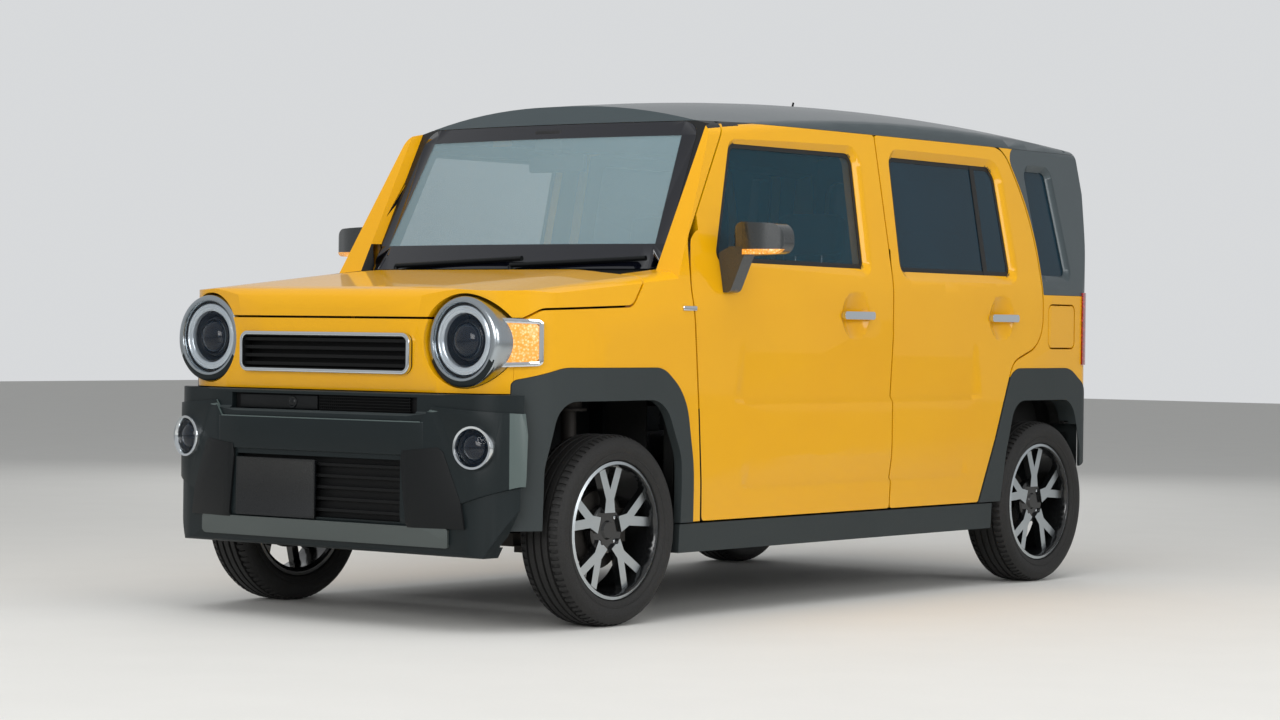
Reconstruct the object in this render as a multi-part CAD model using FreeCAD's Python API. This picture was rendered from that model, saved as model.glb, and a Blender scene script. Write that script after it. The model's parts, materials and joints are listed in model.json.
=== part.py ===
"""A yellow five-door kei-class crossover car with a dark roof, built as an assembly of separate panels, glass,
lamps, suspension and wheels. Millimetres. +Z is up, the nose points to -Y, and the car's left side is +X.
The origin is on the ground, midway along and across the car."""

import FreeCAD
import Part
import functools
import math
import os

V = FreeCAD.Vector

# Overall sizes of the car
LENGTH = 3395.0
WIDTH = 1475.0
ROOF_Z = 1680.0
WHEELBASE = 2460.0
TRACK = 1300.0
FRONT_OVERHANG = 540.0

# Panels and gaps
GAP = 6.6               # between a moving panel and its neighbour, seen at the skin
SEAM = 1.0              # between two fixed panels
SEAT = 0.3              # between a piece and what it is seated on
DOOR_THICK = 60.0
RING_DEPTH = 69.0       # depth below the skin at which the body ring behind the doors starts
WALL_THICK = 108.0      # whole thickness of the body side
ROOF_THICK = 42.0
FENDER_THICK = 26.0
BONNET_THICK = 34.0
CLADDING_PROUD = 3.0    # how far the black cladding stands out of the painted skin
GLASS_THICK = 5.0

# Wheels: 165/60R15 tyres on 15 inch rims
TYRE_R = 287.0
TYRE_WIDTH = 165.0
RIM_R = 207.0
RIM_WIDTH = 132.0
HUB_BORE_R = 27.0
STUD_CIRCLE = 100.0
STUD_HOLE_R = 8.0

# Where things stand along the car, as distances behind the front axle
SCREEN_BASE = 290.0
ROOF_MIDDLE = 1850.0
DOOR_SPLIT = 1466.0
TAIL = LENGTH - FRONT_OVERHANG

# Heights
SILL_TOP = 300.0
SILL_BOTTOM = 205.0
BELT_Z = 1050.0
DOOR_TOP = 1551.0
BONNET_SIDE_Z = 955.0
BONNET_FRONT_Z = 918.0
BUMPER_TOP = 700.0

FRONT_AXLE_Y = -LENGTH / 2 + FRONT_OVERHANG
SIDE_X = WIDTH / 2 - CLADDING_PROUD
FAR = 3000.0
LEAST_RADIUS = 4.0      # an offset corner tighter than this stays sharp


def at(station):
    """The row frame's Y of a distance behind the front axle."""
    return FRONT_AXLE_Y + station


REAR_AXLE = WHEELBASE


# Plane outlines: every outline is a list of corners (a, b, radius), joined by lines, its corners rounded by arcs

def corners_of(points):
    return [(p[0], p[1], p[2] if len(p) > 2 else 0.0) for p in points]


def rounded(points, place):
    """The closed wire through the corners, each rounded by its radius. place(a, b) gives the point in space."""
    pts = corners_of(points)
    count = len(pts)
    ends = []
    for i, (a, b, r) in enumerate(pts):
        pa, pb, _ = pts[i - 1]
        na, nb, _ = pts[(i + 1) % count]
        u = V(pa - a, pb - b, 0)
        w = V(na - a, nb - b, 0)
        u.normalize()
        w.normalize()
        angle = u.getAngle(w)
        if r <= 0 or abs(math.pi - angle) < 1e-4:
            ends.append(((a, b), None, (a, b)))
            continue
        run = r / math.tan(angle / 2)
        half = u + w
        half.normalize()
        mid = half * (r / math.sin(angle / 2) - r)
        ends.append(((a + u.x * run, b + u.y * run), (a + mid.x, b + mid.y), (a + w.x * run, b + w.y * run)))
    edges = []
    for i, (start, mid, end) in enumerate(ends):
        if mid is not None:
            edges.append(Part.Arc(place(*start), place(*mid), place(*end)).toShape())
        nxt = ends[(i + 1) % count][0]
        if math.hypot(nxt[0] - end[0], nxt[1] - end[1]) > 1e-6:
            edges.append(Part.makeLine(place(*end), place(*nxt)))
    return Part.Wire(edges)


def turned_left(points):
    area = 0.0
    for i, p in enumerate(points):
        q = points[(i + 1) % len(points)]
        area += p[0] * q[1] - q[0] * p[1]
    return area > 0


def inset(points, t):
    """The same outline moved inwards by t (outwards if t is negative), its radii following."""
    pts = corners_of(points)
    sign = 1.0 if turned_left(pts) else -1.0
    count = len(pts)
    lines = []
    for i, p in enumerate(pts):
        q = pts[(i + 1) % count]
        dx, dy = q[0] - p[0], q[1] - p[1]
        size = math.hypot(dx, dy)
        nx, ny = -dy / size * sign, dx / size * sign
        lines.append((p[0] + nx * t, p[1] + ny * t, dx / size, dy / size))
    moved = []
    for i, p in enumerate(pts):
        x1, y1, dx1, dy1 = lines[i - 1]
        x2, y2, dx2, dy2 = lines[i]
        cross = dx1 * dy2 - dy1 * dx2
        if abs(cross) < 1e-9:
            moved.append((x2, y2, p[2]))
            continue
        k = ((x2 - x1) * dy2 - (y2 - y1) * dx2) / cross
        convex = cross * sign > 0
        r = p[2] - t if convex else p[2] + t
        moved.append((x1 + dx1 * k, y1 + dy1 * k, r if p[2] > 0 and r > LEAST_RADIUS else 0.0))
    return moved


def mirrored(half):
    """A closed outline from its half with a > 0, given from bottom to top."""
    return list(half) + [(-p[0],) + tuple(p[1:]) for p in reversed(half)]


def both(shape):
    """The shape and its mirror image on the car's other side, as one compound."""
    return Part.makeCompound([shape, other_side(shape)])


def other_side(shape):
    return shape.mirror(V(0, 0, 0), V(1, 0, 0))


def side_prism(points, x_low, x_high):
    """An outline in the side view, (station, z, radius), extruded across the car."""
    wire = rounded(points, lambda a, b: V(x_low, at(a), b))
    return Part.Face(wire).extrude(V(x_high - x_low, 0, 0))


def front_prism(points, station_low, station_high):
    """An outline in the front view, (x, z, radius), extruded along the car."""
    wire = rounded(points, lambda a, b: V(a, at(station_low), b))
    return Part.Face(wire).extrude(V(0, station_high - station_low, 0))


def plan_prism(points, z_low, z_high):
    """An outline seen from above, (x, station, radius), extruded upwards."""
    wire = rounded(points, lambda a, b: V(a, at(b), z_low))
    return Part.Face(wire).extrude(V(0, 0, z_high - z_low))


def block(x, y, z):
    """A box from its (low, high) pairs, y as stations."""
    return Part.makeBox(x[1] - x[0], y[1] - y[0], z[1] - z[0], V(x[0], at(y[0]), z[0]))


def rod(start, end, radius):
    axis = end - start
    return Part.makeCylinder(radius, axis.Length, start, axis)


def fuse(shapes):
    return shapes[0].multiFuse(shapes[1:]).removeSplitter()


def solids(shape):
    """The shape's solids alone, larger than a crumb."""
    return Part.makeCompound([s for s in shape.Solids if s.Volume > 500.0])


# The body's main surfaces

HINGE_INSET = 6.0
LEAN = (SIDE_X - 1.0 - 638.0) / (1598.0 - BELT_Z)    # how far the upper side leans in for each mm of height
SIDE_HALF = [
    (700.0, -200.0, 0.0),
    (SIDE_X - 9, SILL_TOP + 10, 120.0),
    (SIDE_X, 520.0, 900.0),
    (SIDE_X - 1.0, BELT_Z, 500.0),
    (638.0, 1598.0, 46.0),
    (300.0, ROOF_Z, 2150.0),
]
PLAN_HALF = [
    (300.0, -516.0, 1500.0),
    (598.0, -458.0, 190.0),
    (700.0, -335.0, 200.0),
    (SIDE_X + 3, -60.0, 1300.0),
    (SIDE_X + 3, 2440.0, 1500.0),
    (716.0, 2780.0, 95.0),
    (640.0, 2846.0, 120.0),
    (300.0, 2856.0, 1500.0),
]
ROOF_ARC_R = 12000.0
ROOF_ARC_HALF = 12.0


@functools.lru_cache(maxsize=None)
def shell(t):
    """The whole body's envelope moved inwards by t: its cross-section revolved over the roof's long arc, within its
    plan."""
    section = rounded(inset(mirrored(SIDE_HALF), t), lambda a, b: V(a, at(ROOF_MIDDLE), b))
    centre = V(0, at(ROOF_MIDDLE), ROOF_Z - ROOF_ARC_R)
    body = Part.Face(section)
    body.rotate(centre, V(1, 0, 0), -ROOF_ARC_HALF)
    body = body.revolve(centre, V(1, 0, 0), 2 * ROOF_ARC_HALF)
    return body.common(plan_prism(inset(mirrored(PLAN_HALF), t), 0, 2 * ROOF_Z))


# The windscreen's surface is an arc in plan, carried up along the screen's slope, with the pillars standing out
# beside it
SCREEN_LEAN = math.radians(28.2)
SCREEN_ARC_R = 3100.0
SCREEN_BASE_Z = 1080.0
PILLAR_X = 606.0
PILLAR_PROUD = 36.0


def screen_sag(x):
    return SCREEN_ARC_R - math.sqrt(SCREEN_ARC_R ** 2 - x ** 2)


def behind_screen(t):
    """All that lies behind the windscreen's outer surface and the pillars' front, moved back by t."""
    up = V(0, math.sin(SCREEN_LEAN), math.cos(SCREEN_LEAN))
    drop = 1300.0
    z = SCREEN_BASE_Z
    y = at(SCREEN_BASE) + t / math.cos(SCREEN_LEAN)
    edge = y + screen_sag(PILLAR_X)
    proud = edge - PILLAR_PROUD
    arc = Part.Arc(V(-PILLAR_X, edge, z), V(0, y, z), V(PILLAR_X, edge, z)).toShape()
    rest = [(PILLAR_X, edge), (PILLAR_X + 12, proud), (800, proud), (800, edge + FAR), (-800, edge + FAR), (-800, proud),
            (-PILLAR_X - 12, proud), (-PILLAR_X, edge)]
    lines = [Part.makeLine(V(p[0], p[1], z), V(q[0], q[1], z)) for p, q in zip(rest, rest[1:])]
    face = Part.Face(Part.Wire([arc] + lines))
    face.translate(up * -drop)
    return face.extrude(up * (drop + 1100.0))


# The tail's surface and the bonnet's, as side views, and the bonnet's section at the front axle
TAIL_SIDE = [(-800, 0), (2850, 0), (2850, 1040, 500), (2790, 1900), (-800, 1900)]
BONNET_SLOPE = 0.103
BONNET_Z = 1055.0
NOSE_SIDE = [(-513, 100), (-513, BONNET_Z - 1 - 513 * BONNET_SLOPE, 68), (2900, BONNET_Z - 1 + 2900 * BONNET_SLOPE),
             (2900, 100)]
SHOULDER_HALF = [(SIDE_X + 15, -400.0, 0.0), (SIDE_X + 15, BONNET_Z - 24, 95.0), (420.0, BONNET_Z, 2500.0)]


@functools.lru_cache(maxsize=None)
def cabin(t):
    """The envelope of the body behind the windscreen moved inwards by t."""
    return shell(t).common(behind_screen(t)).common(side_prism(inset(TAIL_SIDE, t), -800, 800))


@functools.lru_cache(maxsize=None)
def front_body(t):
    """The bonnet, nose and front wings' envelope moved inwards by t."""
    section = rounded(inset(mirrored(SHOULDER_HALF), t), lambda a, b: V(a, at(-700), b - 700 * BONNET_SLOPE))
    form = Part.Face(section).extrude(V(0, 1300, 1300 * BONNET_SLOPE))
    form = form.common(side_prism(inset(NOSE_SIDE, t), -800, 800))
    return form.common(shell(t))


SKIN = cabin(0)
INSIDE = cabin(WALL_THICK)
DOOR_INNER = shell(DOOR_THICK)
RING_OUTER = shell(RING_DEPTH)
FRONT_SKIN = front_body(0)

# Outlines in the side view

ARCH_FRONT = [(-328, 100), (-318, 480, 150), (-262, 674, 90), (212, 676, 110), (296, 500, 150), (303, 100)]
ARCH_REAR = [(REAR_AXLE + s, z, r) for s, z, r in
             [(-318, 100, 0), (-262, 480, 100), (-208, 652, 90), (212, 652, 100), (272, 480, 120), (285, 100, 0)]]
FLARE_FRONT = [(-420, 100), (-404, 735, 20), (-245, 773, 200), (205, 773, 110), (318, 690, 190), (357, 480, 400),
               (364, SILL_TOP - 2, 0), (364, 100)]
FLARE_REAR = [(REAR_AXLE + s, z, r) for s, z, r in
              [(-437, 100, 0), (-431, SILL_TOP - 2, 30), (-232, 766, 90), (190, 766, 150), (330, 690, 120),
               (352, 560, 100), (352, 430, 60), (230, 395, 30), (230, 100, 0)]]

DOOR_FRONT = [(410, SILL_TOP, 14), (388, 640, 900), (357, 1010, 300), (371, 1168, 90), (640, DOOR_TOP, 75),
              (DOOR_SPLIT - GAP / 2, DOOR_TOP, 12), (DOOR_SPLIT - GAP / 2, SILL_TOP, 12)]
DOOR_REAR = [(DOOR_SPLIT + GAP / 2, SILL_TOP, 12), (DOOR_SPLIT + GAP / 2, DOOR_TOP, 12), (2292, DOOR_TOP, 110),
             (2424, 1300, 700), (2438, 1010, 260), (2438, 858, 120), (2236, 792, 90), (2026, SILL_TOP, 14)]
WINDOW_FRONT = [(500, 1104, 26), (653, 1480, 40), (1342, 1482, 40), (1326, 1098, 24)]
WINDOW_REAR = [(1545, 1094, 30), (1562, 1482, 34), (2236, 1478, 60), (2258, 1092, 28)]
WINDOW_BORDER = 34.0
WINDOW_DEPTH = 22.0
QUARTER_PANEL = [(2446, 1030, 6), (2440, 1300, 700), (2300, DOOR_TOP + GAP, 50), (2900, DOOR_TOP + GAP),
                 (2900, 1030)]
QUARTER_WINDOW = [(2470, 1100, 22), (2440, 1474, 26), (2590, 1474, 26), (2640, 1100, 22)]

HINGE_X = SIDE_X - HINGE_INSET
HINGE_FRONT = 426.0
HINGE_REAR = DOOR_SPLIT + GAP / 2 + 30.0
CONE_TOP_FRONT = 1244.0
CONE_TOP_REAR = 1168.0


def edge_station(outline, z):
    """The front edge's station of a door outline at a height below its top."""
    best = None
    for i, p in enumerate(outline):
        q = outline[(i + 1) % len(outline)]
        low, high = min(p[1], q[1]), max(p[1], q[1])
        if low <= z <= high and high > low:
            s = p[0] + (q[0] - p[0]) * (z - p[1]) / (q[1] - p[1])
            best = s if best is None else min(best, s)
    return best


def hinge_sweep(outline, hinge, top, extra):
    """What the door's edge ahead of its hinge line sweeps, grown by extra: a solid of revolution about that line."""
    heights = sorted({p[1] for p in outline if p[0] < hinge and SILL_TOP < p[1] < top} | {BELT_Z, top})
    profile = []
    for z in [SILL_TOP] + heights:
        reach = max(hinge - edge_station(outline, z), 0.0)
        profile.append((math.hypot(reach, HINGE_INSET) + extra, z))
    profile[0] = (profile[0][0], SILL_TOP - 1 - extra)
    loop = [V(HINGE_X, at(hinge), profile[0][1])]
    loop += [V(HINGE_X + r, at(hinge), z) for r, z in profile]
    loop += [V(HINGE_X, at(hinge), profile[-1][1]), loop[0]]
    face = Part.Face(Part.makePolygon(loop))
    return face.revolve(V(HINGE_X, at(hinge), 0), V(0, 0, 1), 360)


def tilted(depth):
    """Places side-view outlines on the plane of the side windows, depth below the skin."""
    return lambda a, b: V(SIDE_X - 1.0 - (b - BELT_Z) * LEAN - depth, at(a), b)


def window_cut(outline):
    """A window's opening: a bevelled recess in the skin down to the glass, then straight through."""
    wide = rounded(inset(outline, -WINDOW_BORDER), tilted(-4.0))
    narrow = rounded(outline, tilted(WINDOW_DEPTH))
    deep = rounded(outline, tilted(WALL_THICK + 60.0))
    recess = Part.makeLoft([wide, narrow], True, True)
    through = Part.makeLoft([narrow, deep], True, True)
    return recess.fuse(through)


def pane(outline, depth):
    """A sheet of side glass that fits its opening, depth below the skin."""
    fit = inset(outline, SEAT)
    return Part.makeLoft([rounded(fit, tilted(depth)), rounded(fit, tilted(depth + GLASS_THICK))], True, True)


# The creases pressed into the doors: each is deepest at its lower edge, where a ledge steps back out
CREASES = [
    # top, ledge top, ledge bottom, depth, front end, rear end
    (900.0, 676.0, 652.0, 11.0, 560.0, 2040.0),
    (492.0, 402.0, 378.0, 12.0, 590.0, 1985.0),
]


def crease_cut(top, ledge_top, ledge_bottom, depth, front, rear):
    proud = 40.0
    ends = 70.0

    def ring(station, d):
        pts = [(SIDE_X + proud, top), (SIDE_X + 1, top), (SIDE_X - d, ledge_top), (SIDE_X + 1, ledge_bottom),
               (SIDE_X + proud, ledge_bottom)]
        loop = [V(x, at(station), z) for x, z in pts]
        return Part.makePolygon(loop + loop[:1])

    runs = [(front, -0.5), (front + ends, depth), (rear - ends, depth), (rear, -0.5)]
    return Part.makeLoft([ring(s, d) for s, d in runs], True, True)


CREASE_CUTS = [crease_cut(*row) for row in CREASES]

HANDLE_Z = 943.0
HANDLE_LENGTH = 178.0


def handle_cup(station):
    """The round hollow behind a door handle, a slice of a sphere."""
    ball_r = 150.0
    depth = 26.0
    return Part.makeSphere(ball_r, V(SIDE_X + ball_r - depth, at(station), HANDLE_Z))


def handle_grip(station):
    """The pull handle: a bar that stands over its hollow on two feet."""
    half = HANDLE_LENGTH / 2
    bar = rounded([(half * s, z, 10) for s, z in ((-1, -13), (1, -13), (1, 13), (-1, 13))],
                  lambda a, b: V(SIDE_X + 4, at(station) + a, HANDLE_Z + b))
    grip = Part.Face(bar).extrude(V(13, 0, 0))
    feet = []
    for s in (-1, 1):
        y = station + s * (half - 14)
        feet.append(block((SIDE_X - 30, SIDE_X + 6), (y - 9, y + 9), (HANDLE_Z - 8, HANDLE_Z + 8)))
    return fuse([grip] + feet)


def door_left(outline, window, hinge, top, handle):
    """A whole left door: skin to trim, its window, creases, handle hollow and the edge that turns about its hinge."""
    slab = SKIN.common(side_prism(outline, 560, WIDTH)).cut(DOOR_INNER)
    ahead = block((400, WIDTH), (hinge - 200, hinge), (SILL_TOP - 50, top - 1))
    slab = slab.cut(ahead.cut(hinge_sweep(outline, hinge, top, 0)))
    for cut in CREASE_CUTS:
        slab = slab.cut(cut)
    slab = slab.cut(window_cut(window))
    slab = slab.cut(handle_cup(handle))
    grip = handle_grip(handle)
    slab = solids(slab)
    panel = max(slab.Solids, key=lambda s: s.Volume)
    return panel.fuse(grip).removeSplitter()


parts = {}


def save(name, shape):
    parts[name] = shape


HANDLE_FRONT = 1243.0
HANDLE_REAR = 2160.0
FUEL_LID = [(2482, 840, 22), (2482, 992, 22), (2681, 992, 22), (2681, 840, 22)]
LID_THICK = 8.0
LID_POCKET = 62.0
LID_GAP = 5.2
APERTURE_INSET = 38.0
SEAM_Z = 1163.0
RAIL_TOP = 1600.0


def outside(prism, depth=RING_DEPTH):
    """What of a prism lies outside the surface that is depth below the skin."""
    return prism.common(block((552, 800), (-800, 3000), (0, 2000))).cut(shell(depth))


def save_pair(name, shape):
    """Saves a left piece and its mirror image on the right."""
    save(name + "_left", shape)
    save(name + "_right", other_side(shape))


def doors():
    rows = [
        # end of the name, outline, window, hinge station, top of the hinge edge, handle station
        ("front", DOOR_FRONT, WINDOW_FRONT, HINGE_FRONT, CONE_TOP_FRONT, HANDLE_FRONT),
        ("rear", DOOR_REAR, WINDOW_REAR, HINGE_REAR, CONE_TOP_REAR, HANDLE_REAR),
    ]
    for end, outline, window, hinge, top, handle in rows:
        save_pair("door_" + end, door_left(outline, window, hinge, top, handle))
        save_pair("window_" + end, pane(window, WINDOW_DEPTH + 4))


MIRROR_Z = 1170.0
MIRROR_STATION = 545.0
MIRROR_X = 846.0
MIRROR_LENGTH = 190.0
MIRROR_HEIGHT = 116.0
MIRROR_DEPTH = 96.0


def mirror_left():
    """The outside mirror: a rounded housing on an arm that stands on the door's front corner."""
    half = MIRROR_LENGTH / 2
    low, high = MIRROR_Z - MIRROR_HEIGHT / 2, MIRROR_Z + MIRROR_HEIGHT / 2
    outline = [(MIRROR_X - half, low + 8, 30), (MIRROR_X + half, low + 18, 34), (MIRROR_X + half - 6, high - 8, 42),
               (MIRROR_X - half, high, 44)]
    housing = front_prism(outline, MIRROR_STATION - MIRROR_DEPTH / 2, MIRROR_STATION + MIRROR_DEPTH / 2)
    plan = [(MIRROR_X - half - 20, MIRROR_STATION + 60, 0), (MIRROR_X + half + 20, MIRROR_STATION + 60, 0),
            (MIRROR_X + half, MIRROR_STATION - 10, 40), (MIRROR_X, MIRROR_STATION - MIRROR_DEPTH / 2, 160),
            (MIRROR_X - half, MIRROR_STATION - 20, 40)]
    housing = housing.common(plan_prism(plan, low - 50, high + 50))
    arm = [(706, 1010, 18), (752, 1004, 24), (800, 1110, 30), (820, 1150, 0), (752, 1150, 0), (706, 1130, 20)]
    arm = front_prism(arm, MIRROR_STATION - 34, MIRROR_STATION + 22)
    arm = arm.cut(shell(-SEAT))
    return fuse([housing, arm])


def side_frame_left():
    """The body side behind and around the doors: pillars, sill, quarter panel and the rail under the roof's edge."""
    frame = SKIN.cut(INSIDE).common(block((470, 800), (200, 2900), (SILL_BOTTOM + 20, RAIL_TOP)))
    frame = frame.cut(block((300, 800), (0, 3000), (DOOR_TOP, 2000)).cut(cabin(ROOF_THICK + SEAT)))
    for outline in (DOOR_FRONT, DOOR_REAR):
        frame = frame.cut(outside(side_prism(inset(outline, -GAP), 400, 800)))
        frame = frame.cut(side_prism(inset(outline, APERTURE_INSET), 200, 800))
    frame = frame.cut(block((552, 800), (0, 450), (0, SEAM_Z)).cut(cabin(RING_DEPTH)))
    frame = frame.cut(outside(block((300, 800), (0, 3000), (0, SILL_TOP))))
    frame = frame.cut(block((0, 600), (0, 700), (0, SCREEN_BASE_Z - 2)))
    frame = frame.cut(block((300, 800), (0, 348), (0, SEAM_Z)))
    frame = frame.cut(side_prism(inset(ARCH_REAR, -2), 200, 800))
    frame = frame.cut(outside(side_prism(inset(FLARE_REAR, -SEAM), 400, 800)))
    frame = frame.cut(outside(side_prism(inset(QUARTER_PANEL, -SEAM), 400, 800)))
    frame = frame.cut(side_prism(inset(QUARTER_WINDOW, -20), 200, 800))
    for sweep in ((DOOR_FRONT, HINGE_FRONT, CONE_TOP_FRONT), (DOOR_REAR, HINGE_REAR, CONE_TOP_REAR)):
        frame = frame.cut(hinge_sweep(*sweep, GAP))
    frame = frame.cut(windscreen_form(-SEAM)).cut(tailgate_zone(-GAP)).cut(tail_lamp_zone(-SEAM))
    frame = frame.cut(block((0, 800), (2600, 2900), (0, REAR_BUMPER_TOP + SEAM)))
    frame = max(frame.Solids, key=lambda s: s.Volume)
    return frame.removeSplitter()


def fuel_pocket():
    return side_prism(inset(FUEL_LID, -LID_GAP), SIDE_X - LID_POCKET, 800)


def windscreen_form(t):
    outline = [(PILLAR_X - 1 - t, SCREEN_BASE_Z - 2 + t, 40), (568 - t, DOOR_TOP - 2 - t, 60)]
    return front_prism(mirrored(outline), 0, 900)


def tailgate_zone(t):
    """The tailgate's outline from behind, moved in by t."""
    half = [(560, REAR_BUMPER_TOP + GAP, 30), (606, 1020, 60), (590, 1400, 300), (520, ROOF_Z + 60, 0)]
    zone = front_prism(inset(mirrored(half), t), 2600, 2900)
    return zone.cut(block((-800, 800), (2500, TAILGATE_FRONT + t), (0, 2000)))


def tail_lamp_zone(t):
    """The tail lamp's box at the left rear corner, grown if t is negative."""
    return block((618 + t, 800), (2740 + t, 2900), (778 + t, 1042 - t))


REAR_BUMPER_TOP = 560.0
TAILGATE_FRONT = 2752.0
TAILGATE_HINGE_Z = 1642.0
TAILGATE_HINGE = 2746.0
TAILGATE_THICK = 44.0
REAR_WINDOW = [(480, 1075, 50), (452, 1468, 60)]
QUARTER_DEPTH = RING_DEPTH


def roof_panel():
    panel = SKIN.cut(cabin(ROOF_THICK)).common(block((-800, 800), (0, 2900), (DOOR_TOP + SEAM, 1800)))
    panel = panel.cut(block((-800, 800), (TAILGATE_FRONT - GAP, 2900), (0, 1800)))
    return max(panel.Solids, key=lambda s: s.Volume)


def roof_corners_left():
    """The roof's dark rear corner, beside the tailgate."""
    piece = SKIN.cut(cabin(ROOF_THICK)).common(block((0, 800), (TAILGATE_FRONT - GAP, 2900), (DOOR_TOP + SEAM, 1800)))
    return max(piece.cut(tailgate_zone(-GAP)).Solids, key=lambda s: s.Volume)


def quarter_garnish_left():
    piece = SKIN.cut(shell(QUARTER_DEPTH - SEAT)).common(side_prism(QUARTER_PANEL, 560, 800))
    piece = piece.common(block((0, 800), (0, 2900), (0, DOOR_TOP)))
    piece = piece.cut(window_cut(QUARTER_WINDOW)).cut(tailgate_zone(-GAP)).cut(tail_lamp_zone(-SEAM))
    return max(piece.Solids, key=lambda s: s.Volume)


def tailgate():
    panel = SKIN.cut(cabin(TAILGATE_THICK)).common(tailgate_zone(0))
    window = front_prism(mirrored(REAR_WINDOW), 2500, 2900)
    panel = panel.cut(window)
    return max(panel.Solids, key=lambda s: s.Volume)


def tailgate_glass():
    sheet = side_prism(inset(TAIL_SIDE, 8), -800, 800).cut(side_prism(inset(TAIL_SIDE, 8 + GLASS_THICK), -900, 900))
    glass = sheet.common(front_prism(inset(mirrored(REAR_WINDOW), SEAT), 2700, 2900))
    return max(glass.Solids, key=lambda s: s.Volume)


def windscreen():
    sheet = behind_screen(0).cut(behind_screen(GLASS_THICK)).common(windscreen_form(0))
    return max(sheet.Solids, key=lambda s: s.Volume)


def tail_lamps():
    form = cabin(-6).cut(cabin(60)).common(tail_lamp_zone(0))
    return both(max(form.Solids, key=lambda s: s.Volume))


# The bonnet's edges in the side view and seen from above
BONNET_EDGE = [(-900, BONNET_FRONT_Z), (-380, BONNET_FRONT_Z), (-330, BONNET_SIDE_Z - 8, 60), (60, BONNET_SIDE_Z + 6, 50),
               (148, 1062, 0), (260, 1110, 0), (260, 1400, 0), (-900, 1400, 0)]
BONNET_REAR = 222.0
BONNET_HINGE = 250.0
BONNET_HINGE_Z = 1060.0
LAMP_X = 521.0
LAMP_Z = 846.0
LAMP_R = 135.0
LAMP_FRONT = -492.0
FOG_X = 586.0
FOG_Z = 541.0
FOG_R = 65.0
FRONT_BUMPER_TOP = 694.0
COWL_FRONT = 244.0
COWL_REAR = 332.0
COWL_Z = 1034.0
STEER_LOW = (600.0, -4.0, 236.0)
STEER_HIGH = (505.0, 18.0, 896.0)


def steer_point(side, share):
    """A point on the steering axis, from the lower ball joint (0) to the strut's top bearing (1)."""
    x, y, z = [low + (high - low) * share for low, high in zip(STEER_LOW, STEER_HIGH)]
    return V(side * x, at(y), z)


def steer_axis(side):
    axis = steer_point(side, 1) - steer_point(side, 0)
    axis.normalize()
    return axis


def lamp_hole(grow):
    """Where a headlamp sits: its round body and the turn signal beside it."""
    ring = Part.makeCylinder(LAMP_R + grow, 500, V(LAMP_X, at(-700), LAMP_Z), V(0, 1, 0))
    wing = front_prism([(LAMP_X, LAMP_Z - 52 - grow, 0), (800, LAMP_Z - 52 - grow, 0), (800, LAMP_Z + 52 + grow, 0),
                        (LAMP_X, LAMP_Z + 52 + grow, 0)], -700, -340 + grow)
    return ring.fuse(wing)


def bonnet_region(t):
    side = side_prism(inset(BONNET_EDGE, t), -800, 800)
    back = [(-800, -900), (800, -900), (800, BONNET_REAR - 74 - t, 0), (690, BONNET_REAR - 74 - t, 200),
            (300, BONNET_REAR - t, 1400), (-300, BONNET_REAR - t, 1400), (-690, BONNET_REAR - 74 - t, 200),
            (-800, BONNET_REAR - 74 - t, 0)]
    return side.common(plan_prism(back, 800, 1400))


def bonnet():
    panel = FRONT_SKIN.cut(front_body(BONNET_THICK)).common(bonnet_region(0))
    panel = panel.cut(both(lamp_hole(GAP)))
    return max(panel.Solids, key=lambda s: s.Volume)


def front_fender_left():
    """The front wing with the cowl side that runs up to the windscreen pillar's foot."""
    wing = FRONT_SKIN.cut(front_body(FENDER_THICK)).common(block((300, 800), (-700, 330), (SILL_TOP, 1400)))
    foot = SKIN.cut(cabin(FENDER_THICK)).common(block((PILLAR_X + SEAM, 800), (100, 500), (SILL_TOP, SEAM_Z)))
    foot = foot.common(side_prism([(292, 200), (292, 1000), (200, 1000), (200, 1400), (700, 1400), (700, 200)], 0, 800))
    wing = wing.cut(block((300, PILLAR_X + SEAM), (-700, 500), (0, 1400)))
    wing = wing.fuse(foot)
    wing = wing.cut(bonnet_region(-GAP)).cut(lamp_hole(SEAM))
    wing = wing.cut(block((0, 800), (-700, -398), (0, 1400)))
    wing = wing.cut(side_prism(inset(FLARE_FRONT, -SEAM), 400, 800))
    wing = wing.cut(side_prism(inset(DOOR_FRONT, -GAP), 400, 800)).cut(hinge_sweep(DOOR_FRONT, HINGE_FRONT, CONE_TOP_FRONT, GAP))
    return solids(wing)


def nose_panel():
    panel = FRONT_SKIN.cut(front_body(FENDER_THICK))
    panel = panel.common(block((-800, 800), (-700, -399), (FRONT_BUMPER_TOP + 3, 1000)))
    panel = panel.cut(bonnet_region(-GAP)).cut(both(lamp_hole(SEAM))).cut(grille_form(SEAM))
    panel = panel.cut(side_prism(inset(FLARE_FRONT, -SEAM), -800, 800))
    return max(panel.Solids, key=lambda s: s.Volume)


GRILLE_HALF = [(346, 750, 28), (346, 869, 28)]


def grille_form(grow):
    return front_prism(inset(mirrored(GRILLE_HALF), -grow), -700, -440)


def grille():
    """A frame with four slats across it."""
    back = -474
    frame = front_prism(mirrored(GRILLE_HALF), -521, back).cut(front_prism(inset(mirrored(GRILLE_HALF), 12), -700, 0))
    pieces = [frame, front_prism(mirrored(GRILLE_HALF), back - 6, back)]
    for i in range(4):
        z = 773 + 24.5 * i
        pieces.append(block((-338, 338), (-512, back - 3), (z - 5, z + 5)))
    return fuse(pieces)


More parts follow.
